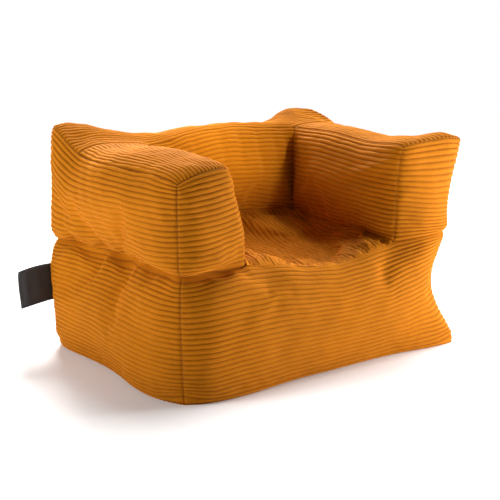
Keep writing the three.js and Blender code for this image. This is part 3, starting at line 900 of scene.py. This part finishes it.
def cord_panel(cover, cut, normals, phases=RIB_PHASES):
    """One panel of the cover as a closed sheet, with its ribs in relief."""
    sizes = cover.sizes
    flip = cut.ribs_along != cut.first[0]
    lengthways, crossways = (cut.second, cut.first) if flip else (cut.first, cut.second)
    edges = edge_names(flip)
    along = along_samples(*lengthways[1:])
    across = rib_samples(*crossways[1:], sizes.rib, phases)
    surface, own, shared, facing = panel_surface(cover, cut, normals, along, across)
    at_zip = cut.name.startswith("base_back")
    if at_zip:
        open_zip_mouth(surface, cut, along, across, sizes)
    distance = edge_distances(along, across)
    edge, seam, seat_front = nearest_edges(cut, edges, distance, along, across)
    pull_in, backing = drawn_in(cut, seam, distance, along, across, flip, sizes)
    sway, still = sway_of(cut, seam, along, across)
    phase = (across / sizes.rib) % 1.0 - 0.5
    ridge = np.clip(np.cos(math.pi * phase), 0.0, 1.0)[None, :] ** RIB_ROUNDNESS + 0 * along[:, None]
    raised = ridge * (1.0 - 0.45 * fade(seam, 0.003))
    blend = fade(edge, 0.012)[..., None]
    normal = own * (1 - blend) + shared * blend
    normal /= np.linalg.norm(normal, axis=-1, keepdims=True)
    depth = sizes.rib_depth * (0.6 if cut.name == "seat_panel" else 1.0)
    # Ribs that run into the seat's front edge are pressed flat there.
    pressed = fade(seat_front, PRESSED_REACH)
    height = depth * (raised - 1.0) * (1 - 0.75 * pressed) - PRESSED_DEPTH * pressed - pull_in + sway
    tangent = np.gradient(surface, axis=1)
    tangent /= np.maximum(np.linalg.norm(tangent, axis=-1, keepdims=True), 1e-9)
    wander = ripples(cut.name + "_ribs", along, across, 0.0009, 0.2, 0.08) * (1 - still)
    surface = surface + tangent * wander[..., None]
    outer = surface + normal * height[..., None]
    inner = surface + normal * (sway - sizes.rib_depth - pull_in - backing - FACING_GAP)[..., None]
    add_seam_lines(cut, edges, surface + normal * (sway - 0.35 * sizes.rib_depth - pull_in)[..., None])
    if at_zip:
        zip_edge = zip_side(cut, distance)
        row = np.argmin(np.abs(zip_edge[0] - ZIP_STITCH_LINE) + 0.01 * (1 - ridge[0]))
        workroom["seams"].append(outer[np.abs(along) < sizes.zip_length / 2, row])
    points, faces = closed_sheet(outer, inner)
    if facing < 0:
        faces = faces[:, ::-1]
    piece = mesh_piece(cut.name + "_cord", points, faces, materials()["corduroy"])
    uv = np.stack(np.broadcast_arrays(along[:, None], across[None, :]), axis=-1).reshape(-1, 2)
    give_uv(piece, np.concatenate([uv, uv]))
    # The grooves' painted shade is strongest near the panel's edges, fades in uneven patches towards its
    # middle and is weaker where the ribs are pressed flat.
    groove_shade_fading = 1 - fade(edge, 0.075) + ripples(cut.name + "_pile", along, across, 0.22, 0.3, 0.12)
    shown = 1 - (1 - ridge) * np.clip(1 - 0.6 * groove_shade_fading, 0.2, 1.0) * (1 - 0.6 * pressed)
    give_attribute(piece, "rib", np.concatenate([shown.ravel(), np.full(ridge.size, 0.3)]))
    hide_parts(cut.name)
    return piece


# Folds drawn in the cloth: from and to as shares of the panel's two sides, width and height in
# millimetres, below zero for a valley.
FOLDS = {
    "arm_inner_panel_right": (
        ((0.0, 0.84), (0.4, 0.62), 13, 6),
        ((0.05, 0.68), (0.42, 0.5), 14, -4),
        ((0.97, 0.95), (0.8, 0.55), 13, 5),
        ((0.98, 0.1), (0.82, 0.52), 14, 5),
        ((0.9, 0.3), (0.6, 0.55), 16, -4),
    ),
    "arm_inner_panel_left": (((0.1, 0.9), (0.5, 0.5), 14, 5), ((0.9, 0.2), (0.5, 0.5), 14, -4)),
    "back_inner_panel": (
        ((0.5, 1.0), (0.48, 0.35), 13, -5),
        ((0.62, 1.0), (0.6, 0.5), 12, -4),
        ((0.74, 1.0), (0.73, 0.3), 13, -6),
        ((0.85, 1.0), (0.85, 0.4), 11, -4),
        ((0.94, 1.0), (0.93, 0.2), 11, -5),
        ((0.3, 1.0), (0.32, 0.5), 12, -4),
        ((0.15, 1.0), (0.16, 0.5), 12, -4),
    ),
    "seat_panel": (
        ((0.02, 0.12), (0.42, 0.4), 15, 7),
        ((0.02, 0.04), (0.55, 0.2), 16, 7),
        ((0.06, 0.25), (0.3, 0.6), 14, 6),
        ((0.35, 0.1), (0.75, 0.3), 17, 5),
        ((0.95, 0.1), (0.7, 0.45), 16, 5),
    ),
    "arm_top_panel_left": (((0.5, 0.98), (0.4, 0.6), 14, -5), ((0.85, 0.98), (0.8, 0.7), 12, -4)),
    "arm_front_panel_left": (((0.0, 0.1), (0.35, 0.3), 14, 4), ((0.6, 0.0), (0.7, 0.4), 14, -3)),
    "base_side_panel_left": (((0.5, 1.0), (0.42, 0.75), 26, -7), ((0.25, 0.98), (0.2, 0.8), 24, 4)),
    "arm_outer_panel_left": (((0.5, 0.0), (0.56, 0.25), 24, -6), ((0.8, 0.0), (0.78, 0.2), 22, -4)),
}


def folds(cut, along, across, flip):
    """How far the folds lift the cloth; the first share runs along the panel's first side."""
    total = np.zeros((len(along), len(across)))
    rows = ((along - along[0]) / (along[-1] - along[0]))[:, None]
    columns = ((across - across[0]) / (across[-1] - across[0]))[None, :]
    tall, wide = along[-1] - along[0], across[-1] - across[0]
    for start, end, width, height in FOLDS.get(cut.name, ()):
        if flip:
            start, end = start[::-1], end[::-1]
        step = np.array([(end[0] - start[0]) * tall, (end[1] - start[1]) * wide])
        reach = np.linalg.norm(step)
        step /= reach
        a, b = (rows - start[0]) * tall, (columns - start[1]) * wide
        walk, aside = (a * step[0] + b * step[1]) / reach, a * step[1] - b * step[0]
        taper = np.clip(1 - np.abs(2 * walk - 1) ** 3, 0, 1)
        total += height / 1000 * taper * fade(aside, width / 1000)
    return total


# How deep the crease draws in the cloth along each side of the chair: place and share of the depth.
CREASE_SIDE = (
    (-0.335, 1.0), (-0.2, 0.75), (-0.09, 0.5), (-0.03, 0.9), (0.02, 1.3),
    (0.06, 0.5), (0.13, 0.15), (0.2, 0.15), (0.24, 0.6), (0.335, 0.4),
)
CREASE_FRONT = ((-0.475, 1.0), (-0.36, 0.8), (-0.28, 0.3), (0.28, 0.1), (0.36, 0.15), (0.475, 0.4))
CREASE_BACK = ((-0.475, 0.4), (-0.2, 0.5), (0.2, 0.4), (0.475, 0.16))
CREASE_DEPTH = 0.024


def crease_fold(cut, along, distance):
    """The deep fold between the base and the arms."""
    base = cut.name.startswith(("base_front", "base_side", "base_back_panel"))
    upper = cut.name.startswith(("arm_front", "arm_outer", "back_outer"))
    if not (base or upper):
        return 0.0
    places = CREASE_SIDE if cut.axis == 0 else CREASE_BACK if "back" in cut.name else CREASE_FRONT
    share = np.interp(along, *zip(*places))
    if cut.name.endswith("side_panel_right") or cut.name == "arm_outer_panel_right":
        share *= 0.4
    if cut.name == "base_front_panel":
        share *= smooth(np.abs(along), 0.25, 0.29)
    gap = distance["across_high" if base else "across_low"]
    fold = CREASE_DEPTH * fade(gap, 0.013 if base else 0.011, 1.5)
    if upper:
        # The arm's filling hangs over the fold.
        fold = fold - 0.006 * fade(gap - 0.035, 0.022) * (cut.name != "back_outer_panel")
    return fold * share[:, None]


def ripples(name, along, across, size, longest, shortest):
    """Gentle random waves over a panel, fixed by the panel's name."""
    chance = np.random.default_rng(sum(ord(letter) * (place + 1) for place, letter in enumerate(name)))
    total = np.zeros((len(along), len(across)))
    for _ in range(14):
        turn = chance.uniform(0, 2 * math.pi)
        wave = 2 * math.pi / chance.uniform(shortest, longest)
        start = chance.uniform(0, 2 * math.pi)
        place = math.cos(turn) * along[:, None] + math.sin(turn) * across[None, :]
        total += np.sin(wave * place + start)
    return size * total / 14**0.5


def zip_mouth(along, sizes):
    """1 where the zip's folded edges stand apart, 0 where they are sewn shut beyond its ends."""
    return 1.0 - smooth(np.abs(along), sizes.zip_length / 2, sizes.zip_length / 2 + 0.01)


def zip_side(cut, distance):
    return distance["across_low" if cut.name == "base_back_panel" else "across_high"]


def open_zip_mouth(surface, cut, along, across, sizes):
    """Parts the two back panels where the zip's teeth show between them."""
    lift = 0.008 * zip_mouth(along, sizes)[:, None]
    if cut.name == "base_back_panel":
        surface[..., 2] += lift * np.clip(1 - (across - sizes.zip_height) / 0.03, 0, 1)
    else:
        surface[..., 2] -= lift * np.clip(1 - (sizes.zip_height - across) / 0.03, 0, 1)


# ---- what lies inside the cover -----------------------------------------------------------------


class CoverFollower:
    """Moves points given in the plain box along with the cover's cloth round them."""

    def __init__(self, cover):
        self.plain = cover.plain
        self.shift = cover.points - cover.plain

    def __call__(self, points):
        points = np.asarray(points, float).reshape(-1, 3)
        moved = np.empty_like(points)
        for start in range(0, len(points), 400):
            part = points[start : start + 400]
            gap = ((part[:, None, :] - self.plain[None]) ** 2).sum(-1) + 1e-5
            weight = gap**-3
            moved[start : start + 400] = part + weight @ self.shift / weight.sum(1, keepdims=True)
        return moved


def box_shell(low, high, cell=0.03):
    """Points and outward faces of a closed box with a grid on each side, welded at the edges."""
    lines = [np.linspace(a, b, max(2, round((b - a) / cell) + 1)) for a, b in zip(low, high)]
    known, points, faces = {}, [], []
    for axis in range(3):
        first, second = (axis + 1) % 3, (axis + 2) % 3
        for end, flipped in ((0, True), (-1, False)):
            rows, columns = lines[first], lines[second]
            index = np.zeros((len(rows), len(columns)), int)
            for i, a in enumerate(rows):
                for j, b in enumerate(columns):
                    point = [0.0, 0.0, 0.0]
                    point[axis], point[first], point[second] = lines[axis][end], a, b
                    key = tuple(round(v * 1e5) for v in point)
                    if key not in known:
                        known[key] = len(points)
                        points.append(point)
                    index[i, j] = known[key]
            quads = quads_of(index)
            faces.append(quads[:, ::-1] if flipped else quads)
    return np.array(points), np.concatenate(faces)


BAG_ROOM = 0.038  # from the plain box to the bag, so that the drawn-in crease doesn't reach it
BAG_WALL = 0.003
CLOSURE = (0.12, 0.0, 0.012)  # half the size of a closure strip on the bag's back
CLOSURE_LIFT, CLOSURE_HALF_THICKNESS, CLOSURE_CELL = 0.0015, 0.001, 0.012
DIVIDER_INSET = 0.042
DIVIDER_HALF_THICKNESS = 0.0006


def stuffed_box(name, low, high, follow, material, replaced, cell=0.03):
    points, faces = box_shell(low, high, cell)
    piece = mesh_piece(name, follow(points), faces, materials()[material])
    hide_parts(replaced)
    return piece


def fill_bag(name, low, high, follow):
    """One inner bag, its beads and the strip that shuts its mouth."""
    stuffed_box(f"{name}_bag", low, high, follow, "liner", f"{name}_liner")
    beads_low, beads_high = low + BAG_WALL, high - BAG_WALL
    stuffed_box(f"{name}_filling", beads_low, beads_high, follow, "beads", f"{name}_beads")
    middle = (low + high) / 2
    strip = np.array([min(CLOSURE[0], (high[0] - low[0]) / 2 - 0.02), CLOSURE[1], CLOSURE[2]])
    at = np.array([middle[0], high[1] + CLOSURE_LIFT, middle[2]])
    thick = (0, CLOSURE_HALF_THICKNESS, 0)
    low, high = at - strip - thick, at + strip + thick
    closure = f"{name}_bag_closure"
    stuffed_box(closure, low, high, follow, "liner", f"{name}_liner_closure", CLOSURE_CELL)


def divider(name, plate):
    """The cloth between the base and the compartment over it."""
    # Its edge goes into the fold's seam, so it stops inside the fold.
    middle = (plate.min((0, 1)) + plate.max((0, 1))) / 2
    span = np.maximum((plate.max((0, 1)) - plate.min((0, 1))) / 2, 0.05)
    plate = plate + (middle - plate) * np.array([1, 1, 0]) * DIVIDER_INSET / span
    up = np.array([0, 0, DIVIDER_HALF_THICKNESS])
    points, faces = closed_sheet(plate + up, plate - up)
    piece = mesh_piece(name + "_cloth", points, faces, materials()["liner"])
    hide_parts(name)


# ---- stitches, teeth, tapes and label -----------------------------------------------------------


class Recipe:
    """A Geometry Nodes tree with named inputs, and short ways to add and join its nodes."""

    def __init__(self, name, inputs):
        self.tree = bpy.data.node_groups.new(name, "GeometryNodeTree")
        sockets = self.tree.interface
        sockets.new_socket("Geometry", in_out="INPUT", socket_type="NodeSocketGeometry")
        for label, kind in inputs:
            sockets.new_socket(label, in_out="INPUT", socket_type="NodeSocket" + kind)
        sockets.new_socket("Geometry", in_out="OUTPUT", socket_type="NodeSocketGeometry")
        self.given = self.tree.nodes.new("NodeGroupInput").outputs

    def node(self, kind, inputs=None, **settings):
        node = self.tree.nodes.new(kind)
        for name, value in settings.items():
            setattr(node, name, value)
        for name, value in (inputs or {}).items():
            if isinstance(value, bpy.types.NodeSocket):
                self.tree.links.new(value, node.inputs[name])
            else:
                node.inputs[name].default_value = value
        return node.outputs[0]

    def close(self, instances):
        solid = self.node("GeometryNodeRealizeInstances", {"Geometry": instances})
        dyed = self.node("GeometryNodeSetMaterial", {"Geometry": solid, "Material": self.given["Material"]})
        self.tree.links.new(dyed, self.tree.nodes.new("NodeGroupOutput").inputs[0])

    def make(self, name, start, values, body="cover"):
        """Runs the tree on a start mesh and returns the plain mesh object that comes out."""
        source = bpy.data.objects.new(name + "_plan", start)
        bpy.context.scene.collection.objects.link(source)
        modifier = source.modifiers.new(name, "NODES")
        modifier.node_group = self.tree
        for item in self.tree.interface.items_tree:
            if item.in_out == "INPUT" and item.name in values:
                modifier[item.identifier] = values[item.name]
        result = source.evaluated_get(bpy.context.evaluated_depsgraph_get())
        mesh = bpy.data.meshes.new_from_object(result)
        need(len(mesh.polygons) > 0, f"{name} came out empty")
        mesh.name = name
        for face in mesh.polygons:
            face.use_smooth = True
        bpy.data.objects.remove(source)
        bpy.data.meshes.remove(start)
        piece = bpy.data.objects.new(name, mesh)
        bpy.context.scene.collection.objects.link(piece)
        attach(piece, body)
        return piece


STITCH_SIZE = (0.0042, 0.0011, 0.0011)


def stitch_recipe():
    """Short stitches along the edges of the start mesh."""
    recipe = Recipe(
        "stitches_along_seams",
        [("Pitch", "Float"), ("Stitch Size", "Vector"), ("Seed", "Int"), ("Material", "Material")],
    )
    given = recipe.given
    seam = recipe.node("GeometryNodeMeshToCurve", {"Mesh": given["Geometry"]})
    apart = {"Curve": seam, "Length": given["Pitch"]}
    places = recipe.node("GeometryNodeResampleCurve", apart, mode="LENGTH")
    ball = recipe.node("GeometryNodeMeshUVSphere", {"Segments": 6, "Rings": 4, "Radius": 0.5})
    stitch = recipe.node("GeometryNodeTransform", {"Geometry": ball, "Scale": given["Stitch Size"]})
    along = recipe.node("GeometryNodeInputTangent")
    turned = recipe.node("FunctionNodeAlignRotationToVector", {"Vector": along}, axis="X")
    uneven = recipe.tree.nodes.new("FunctionNodeRandomValue")
    uneven.data_type = "FLOAT"
    uneven.inputs[2].default_value, uneven.inputs[3].default_value = 0.88, 1.12
    recipe.tree.links.new(given["Seed"], uneven.inputs["Seed"])
    recipe.close(
        recipe.node(
            "GeometryNodeInstanceOnPoints",
            {"Points": places, "Instance": stitch, "Rotation": turned, "Scale": uneven.outputs[1]},
        )
    )
    return recipe


def teeth_recipe():
    """A straight row of rounded zip teeth."""
    recipe = Recipe(
        "row_of_teeth",
        [
            ("Teeth", "Int"),
            ("Start", "Vector"),
            ("Step", "Vector"),
            ("Tooth Size", "Vector"),
            ("Lean", "Vector"),
            ("Material", "Material"),
        ],
    )
    given = recipe.given
    row = recipe.node(
        "GeometryNodeMeshLine",
        {"Count": given["Teeth"], "Start Location": given["Start"], "Offset": given["Step"]},
    )
    ball = recipe.node("GeometryNodeMeshUVSphere", {"Segments": 8, "Rings": 6, "Radius": 0.5})
    tooth = recipe.node(
        "GeometryNodeTransform", {"Geometry": ball, "Scale": given["Tooth Size"], "Rotation": given["Lean"]}
    )
    recipe.close(recipe.node("GeometryNodeInstanceOnPoints", {"Points": row, "Instance": tooth}))
    return recipe


TAPE_INNER, TAPE_OUTER = 0.0011, 0.018  # a tape's two edges, from the zip's middle
TAPE_END = 0.009  # how far a tape runs past the teeth
TAPE_PLACE = 0.3303  # how far back the tapes lie
TAPE_HALF_THICKNESS = 0.0005
TEETH_PLACE, TEETH_OFFSET = 0.3308, 0.00225  # how far back a row lies, and how far off the middle
TOOTH_SIZE = (0.0019, 0.0019, 0.0052)
TOOTH_LEAN = 0.12


def zip_tape(name, sign, sizes):
    half = sizes.zip_length / 2
    along = np.linspace(-half - TAPE_END, half + TAPE_END, 289)[:, None]
    across = np.linspace(TAPE_INNER, TAPE_OUTER, 13)[None, :]
    # The tape lies behind the teeth and then bends forward to the cloth's folded edge.
    depth = TAPE_PLACE - 0.0011 * (1 - smooth(across, 0.004, 0.0065)) + 0.0001 * np.sin(along * 900)
    tape = np.stack(np.broadcast_arrays(along, depth, sizes.zip_height + sign * across), axis=-1)
    thick = np.array([0, TAPE_HALF_THICKNESS, 0])
    points, faces = closed_sheet(tape + thick, tape - thick)
    faces = faces if sign < 0 else faces[:, ::-1]
    piece = mesh_piece(f"woven_tape_{name}", points, faces, materials()["zip_tape"])
    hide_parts(f"zip_tape_{name}")


def zip_teeth(name, sign, sizes, recipe):
    first = -sizes.zip_length / 2 + sizes.tooth / 2 + (0.0 if sign > 0 else sizes.tooth / 2)
    values = {
        "Teeth": int(sizes.zip_length / sizes.tooth),
        "Start": (first, TEETH_PLACE, sizes.zip_height + sign * TEETH_OFFSET),
        "Step": (sizes.tooth, 0.0, 0.0),
        "Tooth Size": TOOTH_SIZE,
        "Lean": (0.0, TOOTH_LEAN, 0.0),
        "Material": materials()["zip_coil"],
    }
    row = recipe.make(f"zip_teeth_{name}", bpy.data.meshes.new("row_plan"), values)
    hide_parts(f"zip_coil_{name}")


def lines_mesh(name, lines):
    """A mesh of bare edges, one chain for each line of points."""
    points, edges = [], []
    for line in lines:
        first = len(points)
        points += [tuple(float(v) for v in point) for point in line]
        edges += [(k, k + 1) for k in range(first, len(points) - 1)]
    mesh = bpy.data.meshes.new(name)
    mesh.from_pydata(points, edges, [])
    return mesh


LABEL_IN_SEAM = 0.006  # how far the label's ends go into the corner seam
LABEL_HALF_LOOP = 0.0075  # half the gap between the label's two plies
LABEL_SWEEP, LABEL_DROOP = 0.01, 0.016  # how far its end bends back and hangs down
LABEL_HALF_THICKNESS = 0.0005


def label_loop(cover):
    """The loop label's middle surface: rows round the loop, columns up the tape."""
    sizes = cover.sizes
    x, y = cover.plain.T[:2]
    corner = np.flatnonzero((x < -sizes.width / 2 + TOUCHING) & (y > sizes.depth / 2 - TOUCHING))
    corner = corner[np.argsort(cover.points[corner, 2])]
    seam = cover.points[corner]
    turn = np.linspace(0, 2 * math.pi, 49)[:, None]
    height = sizes.label_foot + np.linspace(0, sizes.label_width, 13)[None, :]
    out = (1 - np.cos(turn)) / 2
    reach = -LABEL_IN_SEAM + (sizes.label_reach + LABEL_IN_SEAM) * out
    curl = 0.0012 * np.sin(9 * turn) * out * np.sin(math.pi * (height - height[0, 0]) / sizes.label_width)
    seam_x, seam_y = (np.interp(height, seam[:, 2], seam[:, k]) for k in (0, 1))
    side = LABEL_HALF_LOOP * np.sqrt(out) * np.sin(turn)
    where_y = seam_y - 0.004 + side + LABEL_SWEEP * out**2 + curl
    where_z = height - LABEL_DROOP * out**2
    return np.stack(np.broadcast_arrays(seam_x - reach, where_y, where_z), axis=-1)


# ---- operators ----------------------------------------------------------------------------------


# Where the finished chair leans, swells or is drawn in: a spot on the plain box, given as
# shares of the half width, half depth and arm height, and how far it moves in millimetres.
HAND_SHAPING = (
    ((-1, -1, 0), (-13, -12, 0)),
    ((-1, 1, 0), (-21, 12, 0)),
    ((1, 1, 0), (8, 4, 0)),
    ((0, -1, 0), (0, -8, 0)),
    ((-1, -0.6, 0), (-32, 0, 0)),
    ((-0.7, -1, 0), (0, -36, 0)),
    ((0, 1, 0), (0, 0, 0)),
    ((1, -1, 0), (16, -38, 0)),
    ((-1, -1, 0.28), (-11, 0, -13)),
    ((1, -1, 0.28), (-31, 20, 15)),
    ((-1, 1, 0.28), (-32, 20, -8)),
    ((-1, -1, 0.56), (-21, -2, 6)),
    ((1, -1, 0.56), (31, -10, 12)),
    ((-1, 1, 0.56), (-55, 28, 3)),
    ((-0.56, -1, 0.56), (17, 0, 17)),
    ((0.1, -1, 0.56), (0, 0, -18)),
    ((0.56, -1, 0.56), (7, 0, 7)),
    ((0.56, 0.49, 0.56), (25, 0, -14)),
    ((-1, 1, 0.78), (-24, 21, 15)),
    ((1, -1, 0.78), (8, -6, -10)),
    ((-1, -1, 1), (-11, 0, 8)),
    ((-0.56, -1, 1), (-30, 0, 10)),
    ((0.56, -1, 1), (-20, 0, 10)),
    ((0.78, -0.5, 1), (0, 0, -14)),
    ((1, -1, 1), (40, -22, 36)),
    ((-1, 0, 1), (-28, 0, 8)),
    ((1, 0, 1), (5, 0, -8)),
    ((1, 0.7, 1), (0, 0, 12)),
    ((-0.56, 0.49, 1), (30, -6, -32)),
    ((0.56, 0.49, 1), (0, 0, -26)),
    ((-1, 1, 1), (-18, 14, 44)),
    ((-0.6, 1, 1), (0, 0, 12)),
    ((0.16, 1, 1), (0, 0, -12)),
    ((1, 1, 1), (-25, 15, 24)),
)
SHAPING_REACH = 0.16
SWELL_FREE, SWELL_GIVE = 0.01, 0.034  # the front and back swell freely, and then only so much more


def shape_by_hand(cover):
    """Leans and swells the rounded cover at the spots listed above, evenly in between."""
    sizes = cover.sizes
    scale = np.array([sizes.width / 2, sizes.depth / 2, sizes.arm_top])
    spots = np.array([spot for spot, _ in HAND_SHAPING]) * scale
    moves = np.array([move for _, move in HAND_SHAPING]) / 1000.0

    def nearness(points):
        gap = np.linalg.norm(points[:, None, :] - spots[None], axis=-1)
        return fade(gap, SHAPING_REACH)

    strength = np.linalg.solve(nearness(spots), moves)
    cover.points += nearness(cover.plain) @ strength * (1 - zip_band(cover))[:, None]
    edge = sizes.depth / 2 + SWELL_FREE
    over = np.maximum(np.abs(cover.points[:, 1]) - edge, 0)
    held_in = edge + SWELL_GIVE * (1 - np.exp(-over / SWELL_GIVE))
    cover.points[:, 1] = np.where(over > 0, np.sign(cover.points[:, 1]) * held_in, cover.points[:, 1])
    cover.points[:, 2] = np.where(cover.plain[:, 2] < TOUCHING, 0.0, cover.points[:, 2])


class CHAIR_OT_form(bpy.types.Operator):
    """Sew the flat panels together and fill them"""

    bl_idname = "chair.form"
    bl_label = "Fill the Sewn Cover"

    def execute(self, context):
        sizes = context.scene.bean_chair_sizes
        cover = SewnCover(sizes)
        need(len(cover.grids) == 18, "the cover needs 18 panels")
        shape_pattern(cover)
        blow_up(cover)
        sink_seat(cover)
        dress_cover(cover)
        shape_by_hand(cover)
        workroom["cover"] = cover
        return {"FINISHED"}


class CHAIR_OT_cover(bpy.types.Operator):
    """Make every cord panel at full detail"""

    bl_idname = "chair.cover"
    bl_label = "Cord Panels"

    def execute(self, context):
        cover = workroom["cover"]
        normals = cover.normals()
        workroom["seams"] = []
        for cut in cover.cuts:
            hidden = cut.name == "base_bottom_panel"
            cord_panel(cover, cut, normals, HIDDEN_PHASES if hidden else RIB_PHASES)
        return {"FINISHED"}


class CHAIR_OT_inside(bpy.types.Operator):
    """Make the inner bags, their beads and closures, and the dividers"""

    bl_idname = "chair.inside"
    bl_label = "Inner Bags and Beads"

    def execute(self, context):
        cover = workroom["cover"]
        sizes = cover.sizes
        follow = CoverFollower(cover)
        half, rear = sizes.width / 2, sizes.depth / 2
        inner, back = half - sizes.arm_width, rear - sizes.back_thickness
        bags = {
            "base": ((-half, -rear, 0), (half, rear, sizes.crease)),
            "arm_left": ((-half, -rear, sizes.crease), (-inner, back, sizes.arm_top)),
            "arm_right": ((inner, -rear, sizes.crease), (half, back, sizes.arm_top)),
            "back": ((-half, back, sizes.crease), (half, rear, sizes.arm_top)),
        }
        for name, (low, high) in bags.items():
            fill_bag(name, np.array(low) + BAG_ROOM, np.array(high) - BAG_ROOM, follow)
        for name, index in cover.nets.items():
            divider(name, cover.points[index])
        return {"FINISHED"}


class CHAIR_OT_stitches(bpy.types.Operator):
    """Sew the visible seams and the zip's edges with thread"""

    bl_idname = "chair.stitches"
    bl_label = "Stitches"

    def execute(self, context):
        sizes = context.scene.bean_chair_sizes
        values = {
            "Pitch": sizes.stitch,
            "Stitch Size": STITCH_SIZE,
            "Seed": 7,
            "Material": materials()["thread"],
        }
        seams = lines_mesh("seam_lines", workroom["seams"])
        piece = stitch_recipe().make("seam_stitches", seams, values)
        return {"FINISHED"}


class CHAIR_OT_zip(bpy.types.Operator):
    """Make the zip's tapes and teeth, and plate its slider, pull and stops"""

    bl_idname = "chair.zip"
    bl_label = "Zip"

    def execute(self, context):
        sizes, made = context.scene.bean_chair_sizes, materials()
        recipe = teeth_recipe()
        for name, sign in (("upper", 1), ("lower", -1)):
            zip_tape(name, sign, sizes)
            zip_teeth(name, sign, sizes, recipe)
        for row in frame["record"]["subparts"]:
            if row["material_slot"] == "zip_metal":
                mesh = frame["nodes"][row["node"]].data
                mesh.materials.clear()
                mesh.materials.append(made["zip_metal"])
        return {"FINISHED"}


class CHAIR_OT_label(bpy.types.Operator):
    """Sew the blank loop label into the rear left corner"""

    bl_idname = "chair.label"
    bl_label = "Loop Label"

    def execute(self, context):
        loop = label_loop(workroom["cover"])
        thick = grid_normals(loop) * LABEL_HALF_THICKNESS
        points, faces = closed_sheet(loop + thick, loop - thick)
        piece = mesh_piece("loop_label", points, faces, materials()["label"])
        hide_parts("side_label")
        return {"FINISHED"}


FLOOR_REACH = 60.0
WORLD_STRENGTH = 0.12
LAMP_AIM = (0.0, 0.0, 0.3)
SOFT_BOXES = (  # name, place, power and size
    ("left_box", (-2.2, 0.3, 0.95), 26.0, 0.8),
    ("right_box", (1.45, -1.15, 0.42), 36.0, 0.5),
    ("rear_box", (0.7, 2.3, 1.8), 110.0, 0.9),
)
SPOT_PLACE, SPOT_AIM = (0.45, -2.1, 1.3), (-0.03, 0.165, 0.68)
CAMERA_TURN, CAMERA_TILT = math.radians(-36.5), math.radians(13.65)
CAMERA_AIM, CAMERA_DISTANCE = (0.0, 0.0, 0.2793), 3.8


def put_in_studio(name, data, place, aim=None):
    """A lamp or camera, turned to look at the aim."""
    thing = bpy.data.objects.new(name, data)
    thing.location = place
    if aim is not None:
        look = Vector(aim) - Vector(place)
        thing.rotation_euler = look.to_track_quat("-Z", "Y").to_euler()
    bpy.context.scene.collection.objects.link(thing)
    return thing


def studio_floor():
    mesh = bpy.data.meshes.new("studio_floor")
    corners = [(x * FLOOR_REACH, y * FLOOR_REACH, 0) for x, y in ((-1, -1), (1, -1), (1, 1), (-1, 1))]
    mesh.from_pydata(corners, [], [(0, 1, 2, 3)])
    mesh.materials.append(materials()["floor"])
    floor = bpy.data.objects.new("studio_floor", mesh)
    bpy.context.scene.collection.objects.link(floor)


def studio_lamps():
    world = bpy.data.worlds.new("studio")
    bpy.context.scene.world = world
    world.use_nodes = True
    background = world.node_tree.nodes["Background"]
    background.inputs["Color"].default_value = (1.0, 1.0, 1.0, 1.0)
    background.inputs["Strength"].default_value = WORLD_STRENGTH
    for name, place, power, size in SOFT_BOXES:
        lamp = bpy.data.lights.new(name, "AREA")
        lamp.energy, lamp.size = power, size
        put_in_studio(name, lamp, place, LAMP_AIM)
    beam = bpy.data.lights.new("back_spot", "SPOT")
    beam.energy, beam.spot_size = 480.0, math.radians(14.5)
    beam.spot_blend, beam.shadow_soft_size = 0.8, 0.25
    put_in_studio("back_spot", beam, SPOT_PLACE, SPOT_AIM)
    high = bpy.data.lights.new("overhead", "SUN")
    high.energy, high.angle = 3.5, math.radians(45.0)
    overhead = put_in_studio("overhead", high, (0.0, 0.0, 0.0))
    overhead.rotation_euler = (math.radians(-14.0), math.radians(30.0), 0.0)


def studio_camera():
    level = math.cos(CAMERA_TILT)
    back = Vector((math.sin(CAMERA_TURN) * level, -math.cos(CAMERA_TURN) * level, math.sin(CAMERA_TILT)))
    lens = bpy.data.cameras.new("camera")
    lens.sensor_width, lens.lens, lens.shift_x = 36.0, 93.74, -0.01
    camera = put_in_studio("camera", lens, Vector(CAMERA_AIM) + CAMERA_DISTANCE * back)
    camera.rotation_euler = (-back).to_track_quat("-Z", "Y").to_euler()
    bpy.context.scene.camera = camera


class CHAIR_OT_stage(bpy.types.Operator):
    """Set up the floor, the lights and the camera"""

    bl_idname = "chair.stage"
    bl_label = "Studio"

    def execute(self, context):
        studio_floor()
        studio_lamps()
        studio_camera()
        context.scene.view_settings.view_transform = "Standard"
        return {"FINISHED"}


BUILD_ORDER = ("form", "cover", "inside", "stitches", "zip", "label", "stage")


class CHAIR_PT_panel(bpy.types.Panel):
    """Sizes, colours and build steps of the bean bag armchair"""

    bl_label = "Bean Bag Armchair"
    bl_idname = "CHAIR_PT_panel"
    bl_space_type = "VIEW_3D"
    bl_region_type = "UI"
    bl_category = "Bean Bag"

    def draw(self, context):
        for group in (context.scene.bean_chair_sizes, context.scene.bean_chair_colours):
            for name in group.__annotations__:
                self.layout.prop(group, name)
        for step in BUILD_ORDER:
            self.layout.operator(f"chair.{step}")


CLASSES = (
    BeanChairSizes,
    BeanChairColours,
    CHAIR_OT_form,
    CHAIR_OT_cover,
    CHAIR_OT_inside,
    CHAIR_OT_stitches,
    CHAIR_OT_zip,
    CHAIR_OT_label,
    CHAIR_OT_stage,
    CHAIR_PT_panel,
)


def register():
    for kind in CLASSES:
        bpy.utils.register_class(kind)
    bpy.types.Scene.bean_chair_sizes = bpy.props.PointerProperty(type=BeanChairSizes)
    bpy.types.Scene.bean_chair_colours = bpy.props.PointerProperty(type=BeanChairColours)


def unregister():
    del bpy.types.Scene.bean_chair_colours
    del bpy.types.Scene.bean_chair_sizes
    for kind in reversed(CLASSES):
        bpy.utils.unregister_class(kind)


def main():
    register()
    for step in BUILD_ORDER:
        getattr(bpy.ops.chair, step)()


if __name__ == "__main__":
    main()
